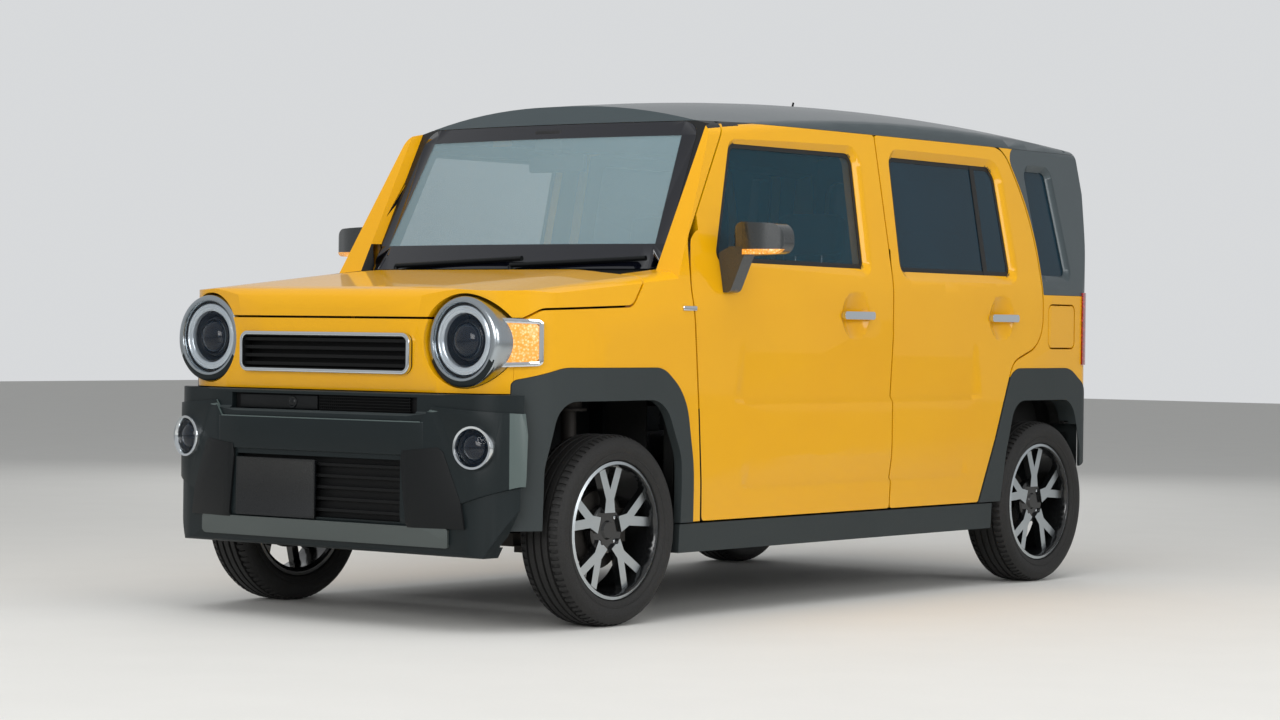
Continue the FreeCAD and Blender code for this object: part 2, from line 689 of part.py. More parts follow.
def bumper_form(t):
    half = [(340, -542, 900), (622, -490, 150), (720, -388, 220), (WIDTH / 2, -240, 500), (WIDTH / 2, 0, 0)]
    plan = plan_prism(inset([(p[0], p[1], p[2]) for p in mirrored(half)], t), 0, 1000)
    side = [(-496, 220, 20), (-540, 330, 120), (-540, 628, 20), (-518, 640, 10), (-518, FRONT_BUMPER_TOP, 8),
            (200, FRONT_BUMPER_TOP, 0), (200, 220, 0)]
    return plan.common(side_prism(inset(side, t), -800, 800))


def front_bumper():
    shape = bumper_form(0).cut(bumper_form(32))
    shape = shape.cut(block((-800, 800), (-360, 300), (0, 1000))).cut(block((-600, 600), (-484, -340), (244, 1000)))
    shape = shape.cut(side_prism(inset(FLARE_FRONT, -SEAM), -800, 800)).cut(side_prism(inset(ARCH_FRONT, -8), -800, 800))
    for s in (-1, 1):
        shape = shape.cut(Part.makeCylinder(FOG_R + SEAT, 400, V(s * FOG_X, at(-700), FOG_Z), V(0, 1, 0)))
    shape = shape.cut(front_prism(mirrored([(380, 634, 0), (380, 682, 0)]), -700, -400))
    shape = shape.cut(front_prism(mirrored([(335, 316, 0), (335, 498, 0)]), -700, -400))
    shape = max(shape.Solids, key=lambda s: s.Volume)
    return shape


def lower_grille():
    half = 335 - SEAT
    pieces = [block((-half, half), (-514, -506), (316 + SEAT, 498 - SEAT))]
    for i in range(5):
        z = 339 + 34 * i
        pieces.append(block((-half, half), (-530, -510), (z - 5, z + 5)))
    slot = block((-380 + SEAT, 380 - SEAT), (-500, -492), (634 + SEAT, 682 - SEAT))
    return Part.makeCompound([fuse(pieces), slot])


def skid_garnish():
    shape = bumper_form(-8).cut(bumper_form(-SEAT)).common(front_prism(mirrored([(504, 246, 12), (504, 306, 12)]), -700, -400))
    return max(shape.Solids, key=lambda s: s.Volume)


def headlamps():
    """Round lamps: a ring round a domed lens, with the turn signal beside it on the corner."""
    body = lamp_hole(0).common(front_body(-12)).cut(front_body(52))
    return both(max(body.Solids, key=lambda s: s.Volume))


def fog_lamps():
    body = Part.makeCylinder(FOG_R, 46, V(FOG_X, at(-530), FOG_Z), V(0, 1, 0))
    return both(body.common(bumper_form(-6)))


def arch_trims_left():
    """The black trim round both wheel arches and along the sill, with the arches' inner liners."""
    front = shell(-CLADDING_PROUD).cut(shell(FENDER_THICK)).common(side_prism(FLARE_FRONT, 400, 800))
    front = front.cut(side_prism(ARCH_FRONT, 400, 800)).cut(block((0, 800), (-900, 900), (0, SILL_TOP - 2)))
    front = front.cut(side_prism(inset(DOOR_FRONT, -GAP), 400, 800)).cut(hinge_sweep(DOOR_FRONT, HINGE_FRONT, CONE_TOP_FRONT, GAP))
    rear = shell(-CLADDING_PROUD).cut(shell(QUARTER_DEPTH - SEAT)).common(side_prism(FLARE_REAR, 400, 800))
    rear = rear.cut(side_prism(ARCH_REAR, 400, 800)).cut(block((0, 800), (1000, 2400), (0, SILL_TOP - 2)))
    rear = rear.cut(side_prism(inset(DOOR_REAR, -GAP), 400, 800)).cut(rear_bumper_form(-SEAM))
    rear = rear.cut(block((0, 690), (2700, 2900), (0, 1000)))
    sill = shell(4).cut(shell(QUARTER_DEPTH - SEAT)).common(block((400, 800), (304, 2128), (SILL_BOTTOM, SILL_TOP - GAP)))
    sill = sill.cut(side_prism(inset(ARCH_REAR, -1), 400, 800)).cut(side_prism(inset(ARCH_FRONT, -1), 400, 800))
    return [max(p.Solids, key=lambda s: s.Volume) for p in (front, rear, sill)]


def rear_bumper_form(t):
    half = [(WIDTH / 2, 2500, 0), (WIDTH / 2, 2700, 260), (640, 2840, 150), (300, TAIL + 2, 1500)]
    plan = plan_prism(inset(mirrored(half), t), 0, 1000)
    side = [(2400, 235, 0), (2770, 235, 60), (TAIL, 330, 100), (TAIL, REAR_BUMPER_TOP, 16), (2400, REAR_BUMPER_TOP, 0)]
    return plan.common(side_prism(inset(side, t), -800, 800)).common(block((-800, 800), (2560, 2900), (0, 1000)))


def rear_bumper():
    shape = rear_bumper_form(0).cut(rear_bumper_form(32)).cut(block((-800, 800), (2500, 2780), (0, 1000)))
    return max(shape.Solids, key=lambda s: s.Volume)


FLOOR_Z = 232.0
FLOOR_THICK = 8.0
FLOOR_HALF = 598.0
WHEELHOUSE_X = 540.0


def floor_pan():
    """The floor, from the toe board to the tail, with its sills, its step over the rear axle and both rear
    wheelhouses."""
    t = FLOOR_THICK
    line = [(300, 700), (300, 420, 60), (470, FLOOR_Z, 80), (1790, FLOOR_Z, 60), (1880, 400, 60), (2700, 400, 40),
            (2700, 560, 0)]
    back = [(p[0] + t, p[1] + t) + tuple(p[2:]) for p in reversed(line)]
    back = [(2700 + t, 560, 0), (2700 + t, 400 - t, 40)] + [(1880 + t, 400 - t, 60), (1790 + t, FLOOR_Z - t, 60),
            (470 - t, FLOOR_Z - t, 80), (300 - t, 420 - t, 60), (300 - t, 700, 0)]
    plate = side_prism(line + back, -FLOOR_HALF, FLOOR_HALF)
    sills = both(block((WHEELHOUSE_X, FLOOR_HALF), (352, 2100), (FLOOR_Z - 8, FLOOR_Z + 70)))
    pieces = [plate] + sills.Solids
    for s in (-1, 1):
        outer = side_prism(inset(ARCH_REAR, -30), min(s * WHEELHOUSE_X, s * 600), max(s * WHEELHOUSE_X, s * 600))
        hole = side_prism(inset(ARCH_REAR, -24), min(s * (WHEELHOUSE_X + 4), s * 700), max(s * (WHEELHOUSE_X + 4), s * 700))
        pieces.append(outer.cut(block((-800, 800), (2000, 2900), (0, 396))))
        pieces.append(hole)
    holes = pieces[4::2] if len(pieces) == 7 else []
    body = fuse([pieces[0], pieces[1], pieces[2], pieces[3], pieces[5]])
    body = body.cut(pieces[4]).cut(pieces[6])
    return max(body.Solids, key=lambda s: s.Volume)


def firewall_and_cowl():
    """The wall between engine and cabin, the cowl below the windscreen and the front rails and wheel aprons."""
    wall = block((-FLOOR_HALF, FLOOR_HALF), (300 - FLOOR_THICK, 300), (700.5, 1030))
    cowl = front_prism(mirrored([(PILLAR_X - 8, 990, 10), (PILLAR_X - 8, COWL_Z, 10)]), COWL_FRONT, COWL_REAR)
    flange = behind_screen(GLASS_THICK + SEAT).cut(behind_screen(GLASS_THICK + 26))
    flange = flange.common(block((-PILLAR_X + 8, PILLAR_X - 8), (0, 600), (COWL_Z + SEAT, SCREEN_BASE_Z + 34)))
    rails = both(block((388, 440), (-440, 280), (400, 470))).Solids
    aprons = both(block((382, 388), (-380, 292), (400, 900))).Solids
    braces = both(block((382, 440), (278, 300 - FLOOR_THICK), (380, 720))).Solids
    beam = block((-560, 560), (-470, -440), (400, 470))
    support = block((-380, 380), (-460, -420), (470, 900))
    hole = block((-300, 300), (-500, -400), (500, 860))
    towers = [rod(steer_point(s, 1), steer_point(s, 1) + steer_axis(s) * 12, 60) for s in (-1, 1)]
    plates = [block(sorted((s * 384, s * 500)), (-40, 80), (896, 912)).cut(rod(steer_point(s, 1) + steer_axis(s) * -60,
              steer_point(s, 1), 64)) for s in (-1, 1)]
    shape = fuse([wall, cowl, beam, support] + rails + aprons + braces + towers + plates)
    return Part.makeCompound([shape.cut(hole), flange])


def engine():
    """The engine and gearbox as one plain block at their real place."""
    return block((-330, 330), (-300, 120), (330, 820))


def front_suspension():
    """The subframe, the steering rack's tube and the two lower arms."""
    pieces = [block((-350, 350), (-40, 130), (222, 262)), block((-290, 290), (-20, 100), (261, 329.7)),
              rod(V(-370, at(150), 262), V(370, at(150), 262), 24), block((-60, 60), (120, 160), (240, 280))]
    for s in (-1, 1):
        outline = [(s * 345, -36, 10), (s * 590, -28, 20), (s * 618, -4, 20), (s * 590, 20, 20), (s * 345, 120, 10)]
        arm = Part.Face(rounded(outline, lambda a, b: V(a, at(b), 205))).extrude(V(0, 0, 20))
        pieces += [arm, rod(steer_point(s, 0) - steer_axis(s) * 24, steer_point(s, 0) - steer_axis(s) * SEAT, 15)]
    return fuse(pieces)


WHEEL_X = TRACK / 2
HUB_Z = TYRE_R


def knuckle_left():
    """The front upright with its hub, brake and strut. It turns between the ball joint and the strut's top bearing."""
    top = steer_point(1, 1) - steer_axis(1) * SEAT
    seat_low = V(518, at(13), 640)
    clamp = V(529, at(4), 470)
    hub = Part.makeCylinder(HUB_BORE_R - SEAT, 120, V(560, at(0), HUB_Z), V(1, 0, 0))
    upright = [Part.makeCylinder(48, 26, V(560, at(0), HUB_Z), V(1, 0, 0)), rod(steer_point(1, 0), V(592, at(-2), 300), 17),
               block((540, 574), (-24, 24), (290, 400)), rod(V(556, at(0), 390), clamp, 20)]
    strut = [rod(clamp - V(0, 0, 20), seat_low, 24), rod(seat_low, seat_low + V(0, 0, 8), 56),
             rod(seat_low, top - steer_axis(1) * 10, 42), rod(top - steer_axis(1) * 12, top, 50)]
    disc = Part.makeCylinder(118, 14, V(634, at(0), HUB_Z), V(1, 0, 0))
    caliper = block((616, 656), (70, 122), (HUB_Z - 40, HUB_Z + 60))
    link = block((560, 620), (20, 90), (HUB_Z - 16, HUB_Z + 16))
    return fuse([hub, disc, caliper, link] + upright + strut)


def rear_axle():
    """The rear axle: a twisted beam between two trailing arms, with stub axles and drum brakes."""
    beam = block((-520, 520), (REAR_AXLE - 150, REAR_AXLE - 96), (HUB_Z - 24, HUB_Z + 44))
    pieces = [beam]
    for s in (-1, 1):
        pieces.append(rod(V(s * 500, at(REAR_AXLE - 400), 300), V(s * 500, at(REAR_AXLE + 40), HUB_Z), 26))
        pieces.append(Part.makeCylinder(40, 50, V(s * 500 - 25, at(REAR_AXLE - 400), 300), V(1, 0, 0)))
        pieces.append(Part.makeCylinder(30, 60, V(min(s * 500, s * 560), at(REAR_AXLE), HUB_Z), V(1, 0, 0)))
        pieces.append(Part.makeCylinder(102, 40, V(min(s * 556, s * 596), at(REAR_AXLE), HUB_Z), V(1, 0, 0)))
        pieces.append(Part.makeCylinder(HUB_BORE_R - SEAT, 60, V(min(s * 590, s * 650), at(REAR_AXLE), HUB_Z), V(1, 0, 0)))
        pieces.append(Part.makeCylinder(50, 400 - FLOOR_THICK - SEAT - 300, V(s * 440, at(REAR_AXLE - 60), 300)))
        pieces.append(block(sorted((s * 400, s * 500)), (REAR_AXLE - 110, REAR_AXLE - 10), (HUB_Z - 8, HUB_Z + 14)))
    return fuse(pieces)


def turned(profile, side, station):
    """A ring round a wheel's axis from its section: (radius, distance outwards from the wheel's middle)."""
    x = side * WHEEL_X
    wire = rounded([(p[0], p[1], 0) for p in profile], lambda a, b: V(x + side * b, at(station), HUB_Z + a))
    return Part.Face(wire).revolve(V(x, at(station), HUB_Z), V(1, 0, 0), 360)


def tyre(side, station):
    """A tyre round its rim, its sidewalls bulging out of the beads."""
    half = TYRE_WIDTH / 2
    bead = RIM_WIDTH / 2 - 2
    profile = [(RIM_R + 1, -bead), (RIM_R + 30, -half), (TYRE_R - 21, -half + 5), (TYRE_R, -half + 26),
               (TYRE_R, half - 26), (TYRE_R - 21, half - 5), (RIM_R + 30, half), (RIM_R + 1, bead)]
    return turned(profile, side, station)


SPOKE_Y = [(-25, 52), (-19, 92), (-60, RIM_R - 13), (-30, RIM_R - 13), (0, 122), (30, RIM_R - 13), (60, RIM_R - 13), (19, 92),
           (25, 52)]


def wheel(side, station):
    """A cast wheel: a barrel, a hub with a cap and stud holes, and five spokes forked like a Y."""
    half = RIM_WIDTH / 2
    ring = turned([(RIM_R, -half), (RIM_R, half), (RIM_R - 9, half + 3), (RIM_R - 17, half - 6), (RIM_R - 24, -half + 10),
                   (RIM_R - 9, -half)], side, station)
    hub = turned([(HUB_BORE_R, 6), (HUB_BORE_R, 34), (66, 34), (74, 28), (74, 6)], side, station)
    cap = turned([(0, 33), (0, 40), (24, 40), (HUB_BORE_R + 2, 34), (HUB_BORE_R + 2, 33)], side, station)
    pieces = [ring, hub, cap]
    for i in range(5):
        wire = rounded([(a, b, 0) for a, b in SPOKE_Y], lambda a, b: V(side * (WHEEL_X + 20), at(station) + a, HUB_Z + b))
        spoke = Part.Face(wire).extrude(V(side * 24, 0, 0))
        spoke.rotate(V(0, at(station), HUB_Z), V(1, 0, 0), 72 * i)
        pieces.append(spoke)
    shape = fuse(pieces)
    for i in range(4):
        angle = math.radians(45 + 90 * i)
        y = at(station) + STUD_CIRCLE / 2 * math.cos(angle)
        z = HUB_Z + STUD_CIRCLE / 2 * math.sin(angle)
        shape = shape.cut(rod(V(side * (WHEEL_X + 16), y, z), V(side * (WHEEL_X + 60), y, z), STUD_HOLE_R))
    return shape


SEAT_X = 320.0


def front_seats():
    out = []
    for s in (-1, 1):
        x = (s * SEAT_X - 235, s * SEAT_X + 235)
        cushion = side_prism([(900, 470, 40), (905, 560, 50), (1390, 530, 40), (1400, 430, 30)], *x)
        back = side_prism([(1370, 430, 40), (1350, 560, 30), (1500, 1120, 38), (1590, 1120, 38), (1480, 430, 40)], x[0] + 10, x[1] - 10)
        head = side_prism([(1515, 1150, 30), (1530, 1300, 38), (1620, 1290, 38), (1600, 1150, 30)], s * SEAT_X - 130, s * SEAT_X + 130)
        posts = [rod(V(s * SEAT_X + d, at(1550), 1110), V(s * SEAT_X + d, at(1562), 1180), 7) for d in (-55, 55)]
        base = block((s * SEAT_X - 190, s * SEAT_X + 190), (940, 1360), (FLOOR_Z + SEAT, 450))
        out.append(fuse([cushion, back, head, base] + posts))
    return Part.makeCompound(out)


def rear_seat():
    cushion = side_prism([(1840, 480, 40), (1850, 590, 50), (2270, 560, 40), (2290, 460, 30)], -520, 520)
    back = side_prism([(2270, 460, 30), (2240, 590, 30), (2350, 1120, 38), (2440, 1120, 38), (2380, 460, 30)], -520, 520)
    base = block((-500, 500), (1900, 2260), (400.3, 490))
    pieces = [cushion, back, base]
    for s in (-1, 1):
        pieces.append(side_prism([(2370, 1150, 26), (2380, 1270, 34), (2460, 1260, 34), (2450, 1150, 26)], s * 265 - 120, s * 265 + 120))
        pieces += [rod(V(s * 265 + d, at(2400), 1100), V(s * 265 + d, at(2410), 1170), 7) for d in (-55, 55)]
    return fuse(pieces)


COLUMN_X = -SEAT_X
COLUMN_ANGLE = math.radians(27)


def column_point(along):
    """A point on the steering column's axis, that far behind the dashboard's face."""
    return V(COLUMN_X, at(730) + along * math.cos(COLUMN_ANGLE), 900 + along * math.sin(COLUMN_ANGLE))


def dashboard():
    body = side_prism([(COWL_REAR + SEAT, 700, 20), (COWL_REAR + SEAT, 970, 0), (380, 1046, 10), (600, 1040, 60),
                       (700, 950, 60), (690, 760, 60), (560, 640, 60)], -FLOOR_HALF + 2, FLOOR_HALF - 2)
    column = rod(column_point(-120), column_point(80), 32)
    return fuse([body, column])


def steering_wheel():
    centre = column_point(150)
    axis = column_point(1) - column_point(0)
    across = V(1, 0, 0)
    section = [centre + across * (180 + 15 * math.cos(math.radians(a))) + axis * (15 * math.sin(math.radians(a)))
               for a in range(0, 361, 45)]
    rim = Part.Face(Part.makePolygon(section)).revolve(centre, axis, 360)
    hub = Part.makeCylinder(62, 50, centre - axis * 40, axis)
    pieces = [rim, hub]
    side = V(1, 0, 0)
    down = axis.cross(side)
    for direction in (side, side * -1, down * (1 if down.z < 0 else -1)):
        pieces.append(rod(centre, centre + direction * 180, 12))
    shaft = rod(centre - axis * 60, centre, 20)
    return fuse(pieces + [shaft])


def fuel_tank():
    return plan_prism([(-330, 1420, 60), (330, 1420, 60), (330, 1760, 60), (-330, 1760, 60)], 195, FLOOR_Z - 8 - SEAT)


def exhaust():
    """The silencer and its tail pipe under the boot floor, with the long pipe from the engine."""
    silencer = side_prism([(2560, 290, 40), (2560, 380, 40), (2720, 380, 40), (2720, 290, 40)], -300, 200)
    tail = rod(V(-290, at(2640), 300), V(-420, at(2640), 300), 18)
    pipe = rod(V(-150, at(2570), 335), V(-150, at(2410), 335), 22)
    hangers = [block((x - 8, x + 8), (2632, 2648), (379, 392)) for x in (-200, 120)]
    return fuse([silencer, tail, pipe] + hangers)


def wipers():
    out = []
    for x0, x1 in ((-460, 100), (60, 560)):
        y0 = at(SCREEN_BASE) + screen_sag(abs(x0)) - 16
        y1 = at(SCREEN_BASE) + screen_sag(abs(x1)) - 8
        blade = rod(V(x0, y0, SCREEN_BASE_Z + 8), V(x1, y1, SCREEN_BASE_Z + 30), 8)
        post = rod(V(x0, y0 - 4, COWL_Z + SEAT), V(x0, y0, SCREEN_BASE_Z + 8), 8)
        out.append(fuse([blade, post]).cut(behind_screen(-SEAT)))
    return Part.makeCompound(out)


def antenna():
    foot = V(-500, at(2560), 1608)
    mast = fuse([rod(foot, foot + V(0, 60, 165), 4), Part.makeCylinder(22, 40, foot + V(0, 0, -20))])
    return mast.cut(shell(-SEAT))


def fuel_lid():
    layer = shell(0).cut(shell(LID_THICK)).common(side_prism(FUEL_LID, 400, 800))
    return max(layer.Solids, key=lambda s: s.Volume)


frame_left = side_frame_left()
frame_right = other_side(frame_left)
frame_left = frame_left.cut(fuel_pocket())
save("side_frames", Part.makeCompound([frame_left, frame_right]))
doors()
save_pair("mirror", mirror_left())
save("fuel_lid", fuel_lid())
save("roof_panel", Part.makeCompound([roof_panel(), roof_corners_left(), other_side(roof_corners_left())]))
save("windscreen", windscreen())
garnish = quarter_garnish_left()
save("quarter_garnish", both(garnish))
save("quarter_glass", both(pane(QUARTER_WINDOW, WINDOW_DEPTH + 4)))
save("tailgate", tailgate())
save("tailgate_glass", tailgate_glass())
save("tail_lamps", tail_lamps())
save("rear_bumper", rear_bumper())
save("bonnet", bonnet())
save("front_fenders", both(front_fender_left()))
save("nose_panel", nose_panel())
save("grille", grille())
save("front_bumper", front_bumper())
save("lower_grille", lower_grille())
save("skid_garnish", skid_garnish())
save("headlamps", headlamps())
save("fog_lamps", fog_lamps())
trims = arch_trims_left()
save("arch_trims", Part.makeCompound(trims + [other_side(t) for t in trims]))
save("floor_pan", floor_pan())
save("firewall_and_cowl", firewall_and_cowl())
save("engine", engine())
save("front_suspension", front_suspension())
save("knuckle_left", knuckle_left())
save("knuckle_right", other_side(knuckle_left()))
save("rear_axle", rear_axle())
for end, station in (("front", 0.0), ("rear", REAR_AXLE)):
    for hand, side in (("left", 1), ("right", -1)):
        save(f"tyre_{end}_{hand}", tyre(side, station))
        save(f"wheel_{end}_{hand}", wheel(side, station))
save("front_seats", front_seats())
save("rear_seat", rear_seat())
save("dashboard", dashboard())
save("steering_wheel", steering_wheel())
save("fuel_tank", fuel_tank())
save("exhaust", exhaust())
save("wipers", wipers())
save("antenna", antenna())

for name, shape in parts.items():
    box = shape.BoundBox
    print(f"{name:20s} {shape.isValid()} {len(shape.Solids)} {shape.Volume / 1e6:8.2f}",
          [round(v) for v in (box.XMin, box.XMax, box.YMin, box.YMax, box.ZMin, box.ZMax)])
print(len(parts), "nodes")

os.makedirs("parts", exist_ok=True)
for name, shape in parts.items():
    shape.exportStep(f"parts/{name}.step")
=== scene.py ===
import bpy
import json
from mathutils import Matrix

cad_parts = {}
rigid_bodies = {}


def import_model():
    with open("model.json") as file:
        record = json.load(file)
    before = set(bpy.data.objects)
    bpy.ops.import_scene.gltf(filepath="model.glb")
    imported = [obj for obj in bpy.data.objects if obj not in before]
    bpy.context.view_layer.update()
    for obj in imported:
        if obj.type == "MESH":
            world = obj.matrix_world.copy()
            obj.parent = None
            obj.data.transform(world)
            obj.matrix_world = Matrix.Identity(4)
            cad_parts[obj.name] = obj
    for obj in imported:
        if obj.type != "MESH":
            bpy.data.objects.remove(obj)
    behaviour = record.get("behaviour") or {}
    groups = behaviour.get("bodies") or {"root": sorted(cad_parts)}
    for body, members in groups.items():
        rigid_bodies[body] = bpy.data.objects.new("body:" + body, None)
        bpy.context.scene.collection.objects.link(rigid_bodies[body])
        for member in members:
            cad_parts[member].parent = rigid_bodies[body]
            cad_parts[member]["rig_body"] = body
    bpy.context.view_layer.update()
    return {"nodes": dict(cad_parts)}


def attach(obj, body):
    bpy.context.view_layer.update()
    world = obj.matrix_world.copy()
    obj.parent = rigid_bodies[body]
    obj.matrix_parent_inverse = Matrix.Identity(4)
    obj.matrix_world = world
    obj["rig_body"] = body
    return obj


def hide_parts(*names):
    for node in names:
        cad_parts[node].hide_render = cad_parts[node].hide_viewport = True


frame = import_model()

import json
import math

import bmesh
import bpy
from mathutils import Matrix, Vector
from mathutils.bvhtree import BVHTree

# Where the wheels turn, in metres
FRONT_AXLE = -1.1575
WHEELBASE = 2.46
HUB_Z = 0.287
WHEEL_X = 0.65

# The doors' skin stands at SKIN_X from the middle, and leans in above BELT_Z by SIDE_LEAN for each metre up
SKIN_X = 0.7335
BELT_Z = 1.05
SIDE_LEAN = 0.174

# Points closer than MERGE become one, and faces that turn by less than FLAT count as one
MERGE = 0.00002
FLAT = math.radians(0.3)

# Edges that turn by more degrees than this are rounded, on a panel, a slice of one, and a rim or lens
PANEL_EDGE = 40
SLICE_EDGE = 35
RIM_EDGE = 50

# Each side with the sign of its X, and each wheel's corner
SIDES = (("left", 1), ("right", -1))
CORNERS = [(end + "_" + side, end, s) for end in ("front", "rear") for side, s in SIDES]


def at(station):
    """The Y of a distance behind the front axle."""
    return FRONT_AXLE + station


# Materials

def linear(code):
    """An sRGB hex colour as linear red, green, blue and alpha."""
    parts = [int(code[i:i + 2], 16) / 255 for i in (1, 3, 5)]
    return tuple(p / 12.92 if p <= 0.04045 else ((p + 0.055) / 1.055) ** 2.4 for p in parts) + (1.0,)


def add_node(tree, kind, inputs=None, **settings):
    """One shader node, with its settings, and its inputs as numbers or as other nodes' outputs."""
    made = tree.nodes.new(kind)
    for key, value in settings.items():
        setattr(made, key, value)
    for key, value in (inputs or {}).items():
        if isinstance(value, bpy.types.NodeSocket):
            tree.links.new(value, made.inputs[key])
        else:
            made.inputs[key].default_value = value
    return made


def mixed(tree, share, first, second):
    """The colour that lies between two, at a share of the second."""
    blend = add_node(tree, "ShaderNodeMix", {0: share, 6: first, 7: second}, data_type="RGBA")
    return blend.outputs[2]


def finish(name, colour, tint, roughness, metallic=0.0, grain=0.0, bump=0.0, spread=0.12, **sockets):
    """A finish whose colour drifts slowly towards a tint.

    A fine grain (its size in metres) lifts the surface, and the roughness varies by the share spread.
    """
    made = bpy.data.materials.new(name)
    made.use_nodes = True
    tree = made.node_tree
    shader = tree.nodes["Principled BSDF"]
    shader.inputs["Metallic"].default_value = metallic
    for key, value in sockets.items():
        shader.inputs[key.replace("_", " ").title().replace("Ior", "IOR")].default_value = value
    place = add_node(tree, "ShaderNodeTexCoord").outputs["Object"]
    patches = {"Vector": place, "Scale": 3.0, "Detail": 3.0}
    drift = add_node(tree, "ShaderNodeTexNoise", patches).outputs["Fac"]
    tree.links.new(mixed(tree, drift, linear(colour), linear(tint)), shader.inputs["Base Color"])
    gloss = drift
    if grain:
        pebbles = {"Vector": place, "Scale": 1.0 / grain, "Detail": 2.0}
        gloss = add_node(tree, "ShaderNodeTexNoise", pebbles).outputs["Fac"]
        lift = add_node(tree, "ShaderNodeBump", {"Height": gloss, "Strength": bump, "Distance": grain * 0.5})
        tree.links.new(lift.outputs["Normal"], shader.inputs["Normal"])
    rough = add_node(tree, "ShaderNodeMapRange", {"Value": gloss, "From Min": 0.3, "From Max": 0.7,
                                                  "To Min": roughness * (1 - spread),
                                                  "To Max": min(roughness * (1 + spread), 1)})
    tree.links.new(rough.outputs["Result"], shader.inputs["Roughness"])
    return made


def weave(name, warp, weft, thread, roughness):
    """Woven cloth: two sets of threads, thread metres apart, that lift the surface and show two colours."""
    made = finish(name, warp, weft, roughness, sheen_weight=0.25)
    tree = made.node_tree
    shader = tree.nodes["Principled BSDF"]
    place = add_node(tree, "ShaderNodeTexCoord").outputs["Object"]
    ways = []
    for turn in ("X", "Z"):
        way = add_node(tree, "ShaderNodeTexWave", {"Vector": place, "Scale": 0.5 / thread, "Distortion": 0.4},
                       bands_direction=turn)
        ways.append(way.outputs["Fac"])
    cloth = add_node(tree, "ShaderNodeMath", {0: ways[0], 1: ways[1]}, operation="MAXIMUM").outputs[0]
    tree.links.new(mixed(tree, cloth, linear(warp), linear(weft)), shader.inputs["Base Color"])
    lift = add_node(tree, "ShaderNodeBump", {"Height": cloth, "Strength": 0.5, "Distance": thread * 0.4})
    tree.links.new(lift.outputs["Normal"], shader.inputs["Normal"])
    return made


def facet_glints(material, size, glint_colour):
    """Painted glints on a lens: each facet moulded into it, size metres wide, lightened towards its middle as
    a painted highlight.
    """
    tree = material.node_tree
    shader = tree.nodes["Principled BSDF"]
    body = shader.inputs["Base Color"].links[0].from_socket
    place = add_node(tree, "ShaderNodeTexCoord").outputs["Object"]
    cell = add_node(tree, "ShaderNodeTexVoronoi", {"Vector": place, "Scale": 1.0 / size}).outputs["Distance"]
    share = add_node(tree, "ShaderNodeMapRange", {"Value": cell, "From Min": 0.1, "From Max": 0.55})
    glinting = mixed(tree, share.outputs["Result"], linear(glint_colour), body)
    tree.links.new(glinting, shader.inputs["Base Color"])


# Solid enamel under clear coat: deep colour, sharp reflections and a faint orange-peel ripple
paint = finish("solid_enamel_clearcoat", "#E6AA00", "#E2A200", 0.34, grain=0.012, bump=0.012, coat_weight=0.6,
               coat_roughness=0.03, specular_ior_level=0.15)
# Gunmetal metallic paint under clear coat, its flake drawn 1.5 mm coarse so that it shows
roof_paint = finish("gunmetal_metallic_clearcoat", "#414C50", "#394448", 0.42, metallic=0.3, grain=0.0015,
                    bump=0.03, coat_weight=0.5, coat_roughness=0.1)
# Moulded polypropylene, left unpainted: a fine pebble grain that scatters the light
cladding = finish("grained_polypropylene", "#33393A", "#2D3334", 0.55, grain=0.0022, bump=0.22,
                  specular_ior_level=0.25)
# The same plastic, darker and a little smoother
bumper_plastic = finish("dark_grained_polypropylene", "#182022", "#141B1D", 0.42, grain=0.0022, bump=0.10,
                        specular_ior_level=0.22)
black_plastic = finish("satin_black_polypropylene", "#0C0E10", "#101314", 0.45, grain=0.0018, bump=0.12,
                       specular_ior_level=0.22)
# The bumper's raised edges: a painted highlight, lighter and a little smoother, where the upward chamfers
# catch the light
bumper_painted_highlight = finish("polypropylene_painted_highlight", "#53605E", "#495554", 0.34, grain=0.0022, bump=0.05)
# Fixed black louvres, matt so that they stay dark in daylight
louvre_black = finish("matt_black_polypropylene", "#08090A", "#0B0C0D", 0.6, grain=0.0018, bump=0.1,
                      specular_ior_level=0.2)
# Silver-grey satin paint on the skid bar
skid_paint = finish("satin_silver_paint", "#59605F", "#515857", 0.34, metallic=0.45, grain=0.0012, bump=0.04)
# Bright electroplated chrome on plastic
chrome = finish("plated_chrome", "#DDE1E4", "#D2D8DC", 0.07, metallic=1.0)
# Satin chrome: the plating with a blasted base
satin_chrome = finish("satin_chrome", "#B4BBC0", "#A8B0B5", 0.2, metallic=1.0, grain=0.002, bump=0.02)
# Gloss enamel on the mirror covers
mirror_cover = finish("gloss_charcoal_enamel", "#262B2D", "#222729", 0.3, grain=0.004, bump=0.02,
                      coat_weight=0.7, coat_roughness=0.08)
# Gloss black enamel in the wheels' sunk faces
wheel_black = finish("gloss_black_enamel", "#0E0F10", "#131415", 0.22, grain=0.003, bump=0.02,
                     coat_weight=0.5, coat_roughness=0.08)
# Diamond-turned aluminium, its turning marks drawn 1.2 mm coarse so that they show
machined = finish("turned_aluminium", "#C3C9CC", "#B4BBBF", 0.32, metallic=1.0, grain=0.0012, bump=0.08)
# Tyre rubber: matt and slightly brown-grey
tyre_rubber = finish("tyre_rubber", "#131313", "#1A1918", 0.7, grain=0.0025, bump=0.2, spread=0.2)
# Extruded seals
seal_rubber = finish("extruded_seal_rubber", "#0A0B0B", "#101111", 0.5, grain=0.002, bump=0.06)
# Seat cloth: dark sides and a paler middle, its threads drawn 3 mm apart so that they show
seat_cloth = weave("woven_seat_cloth", "#23262A", "#33373C", 0.003, 0.9)
seat_middle = weave("woven_seat_cloth_middle", "#4A4E52", "#62666A", 0.003, 0.9)
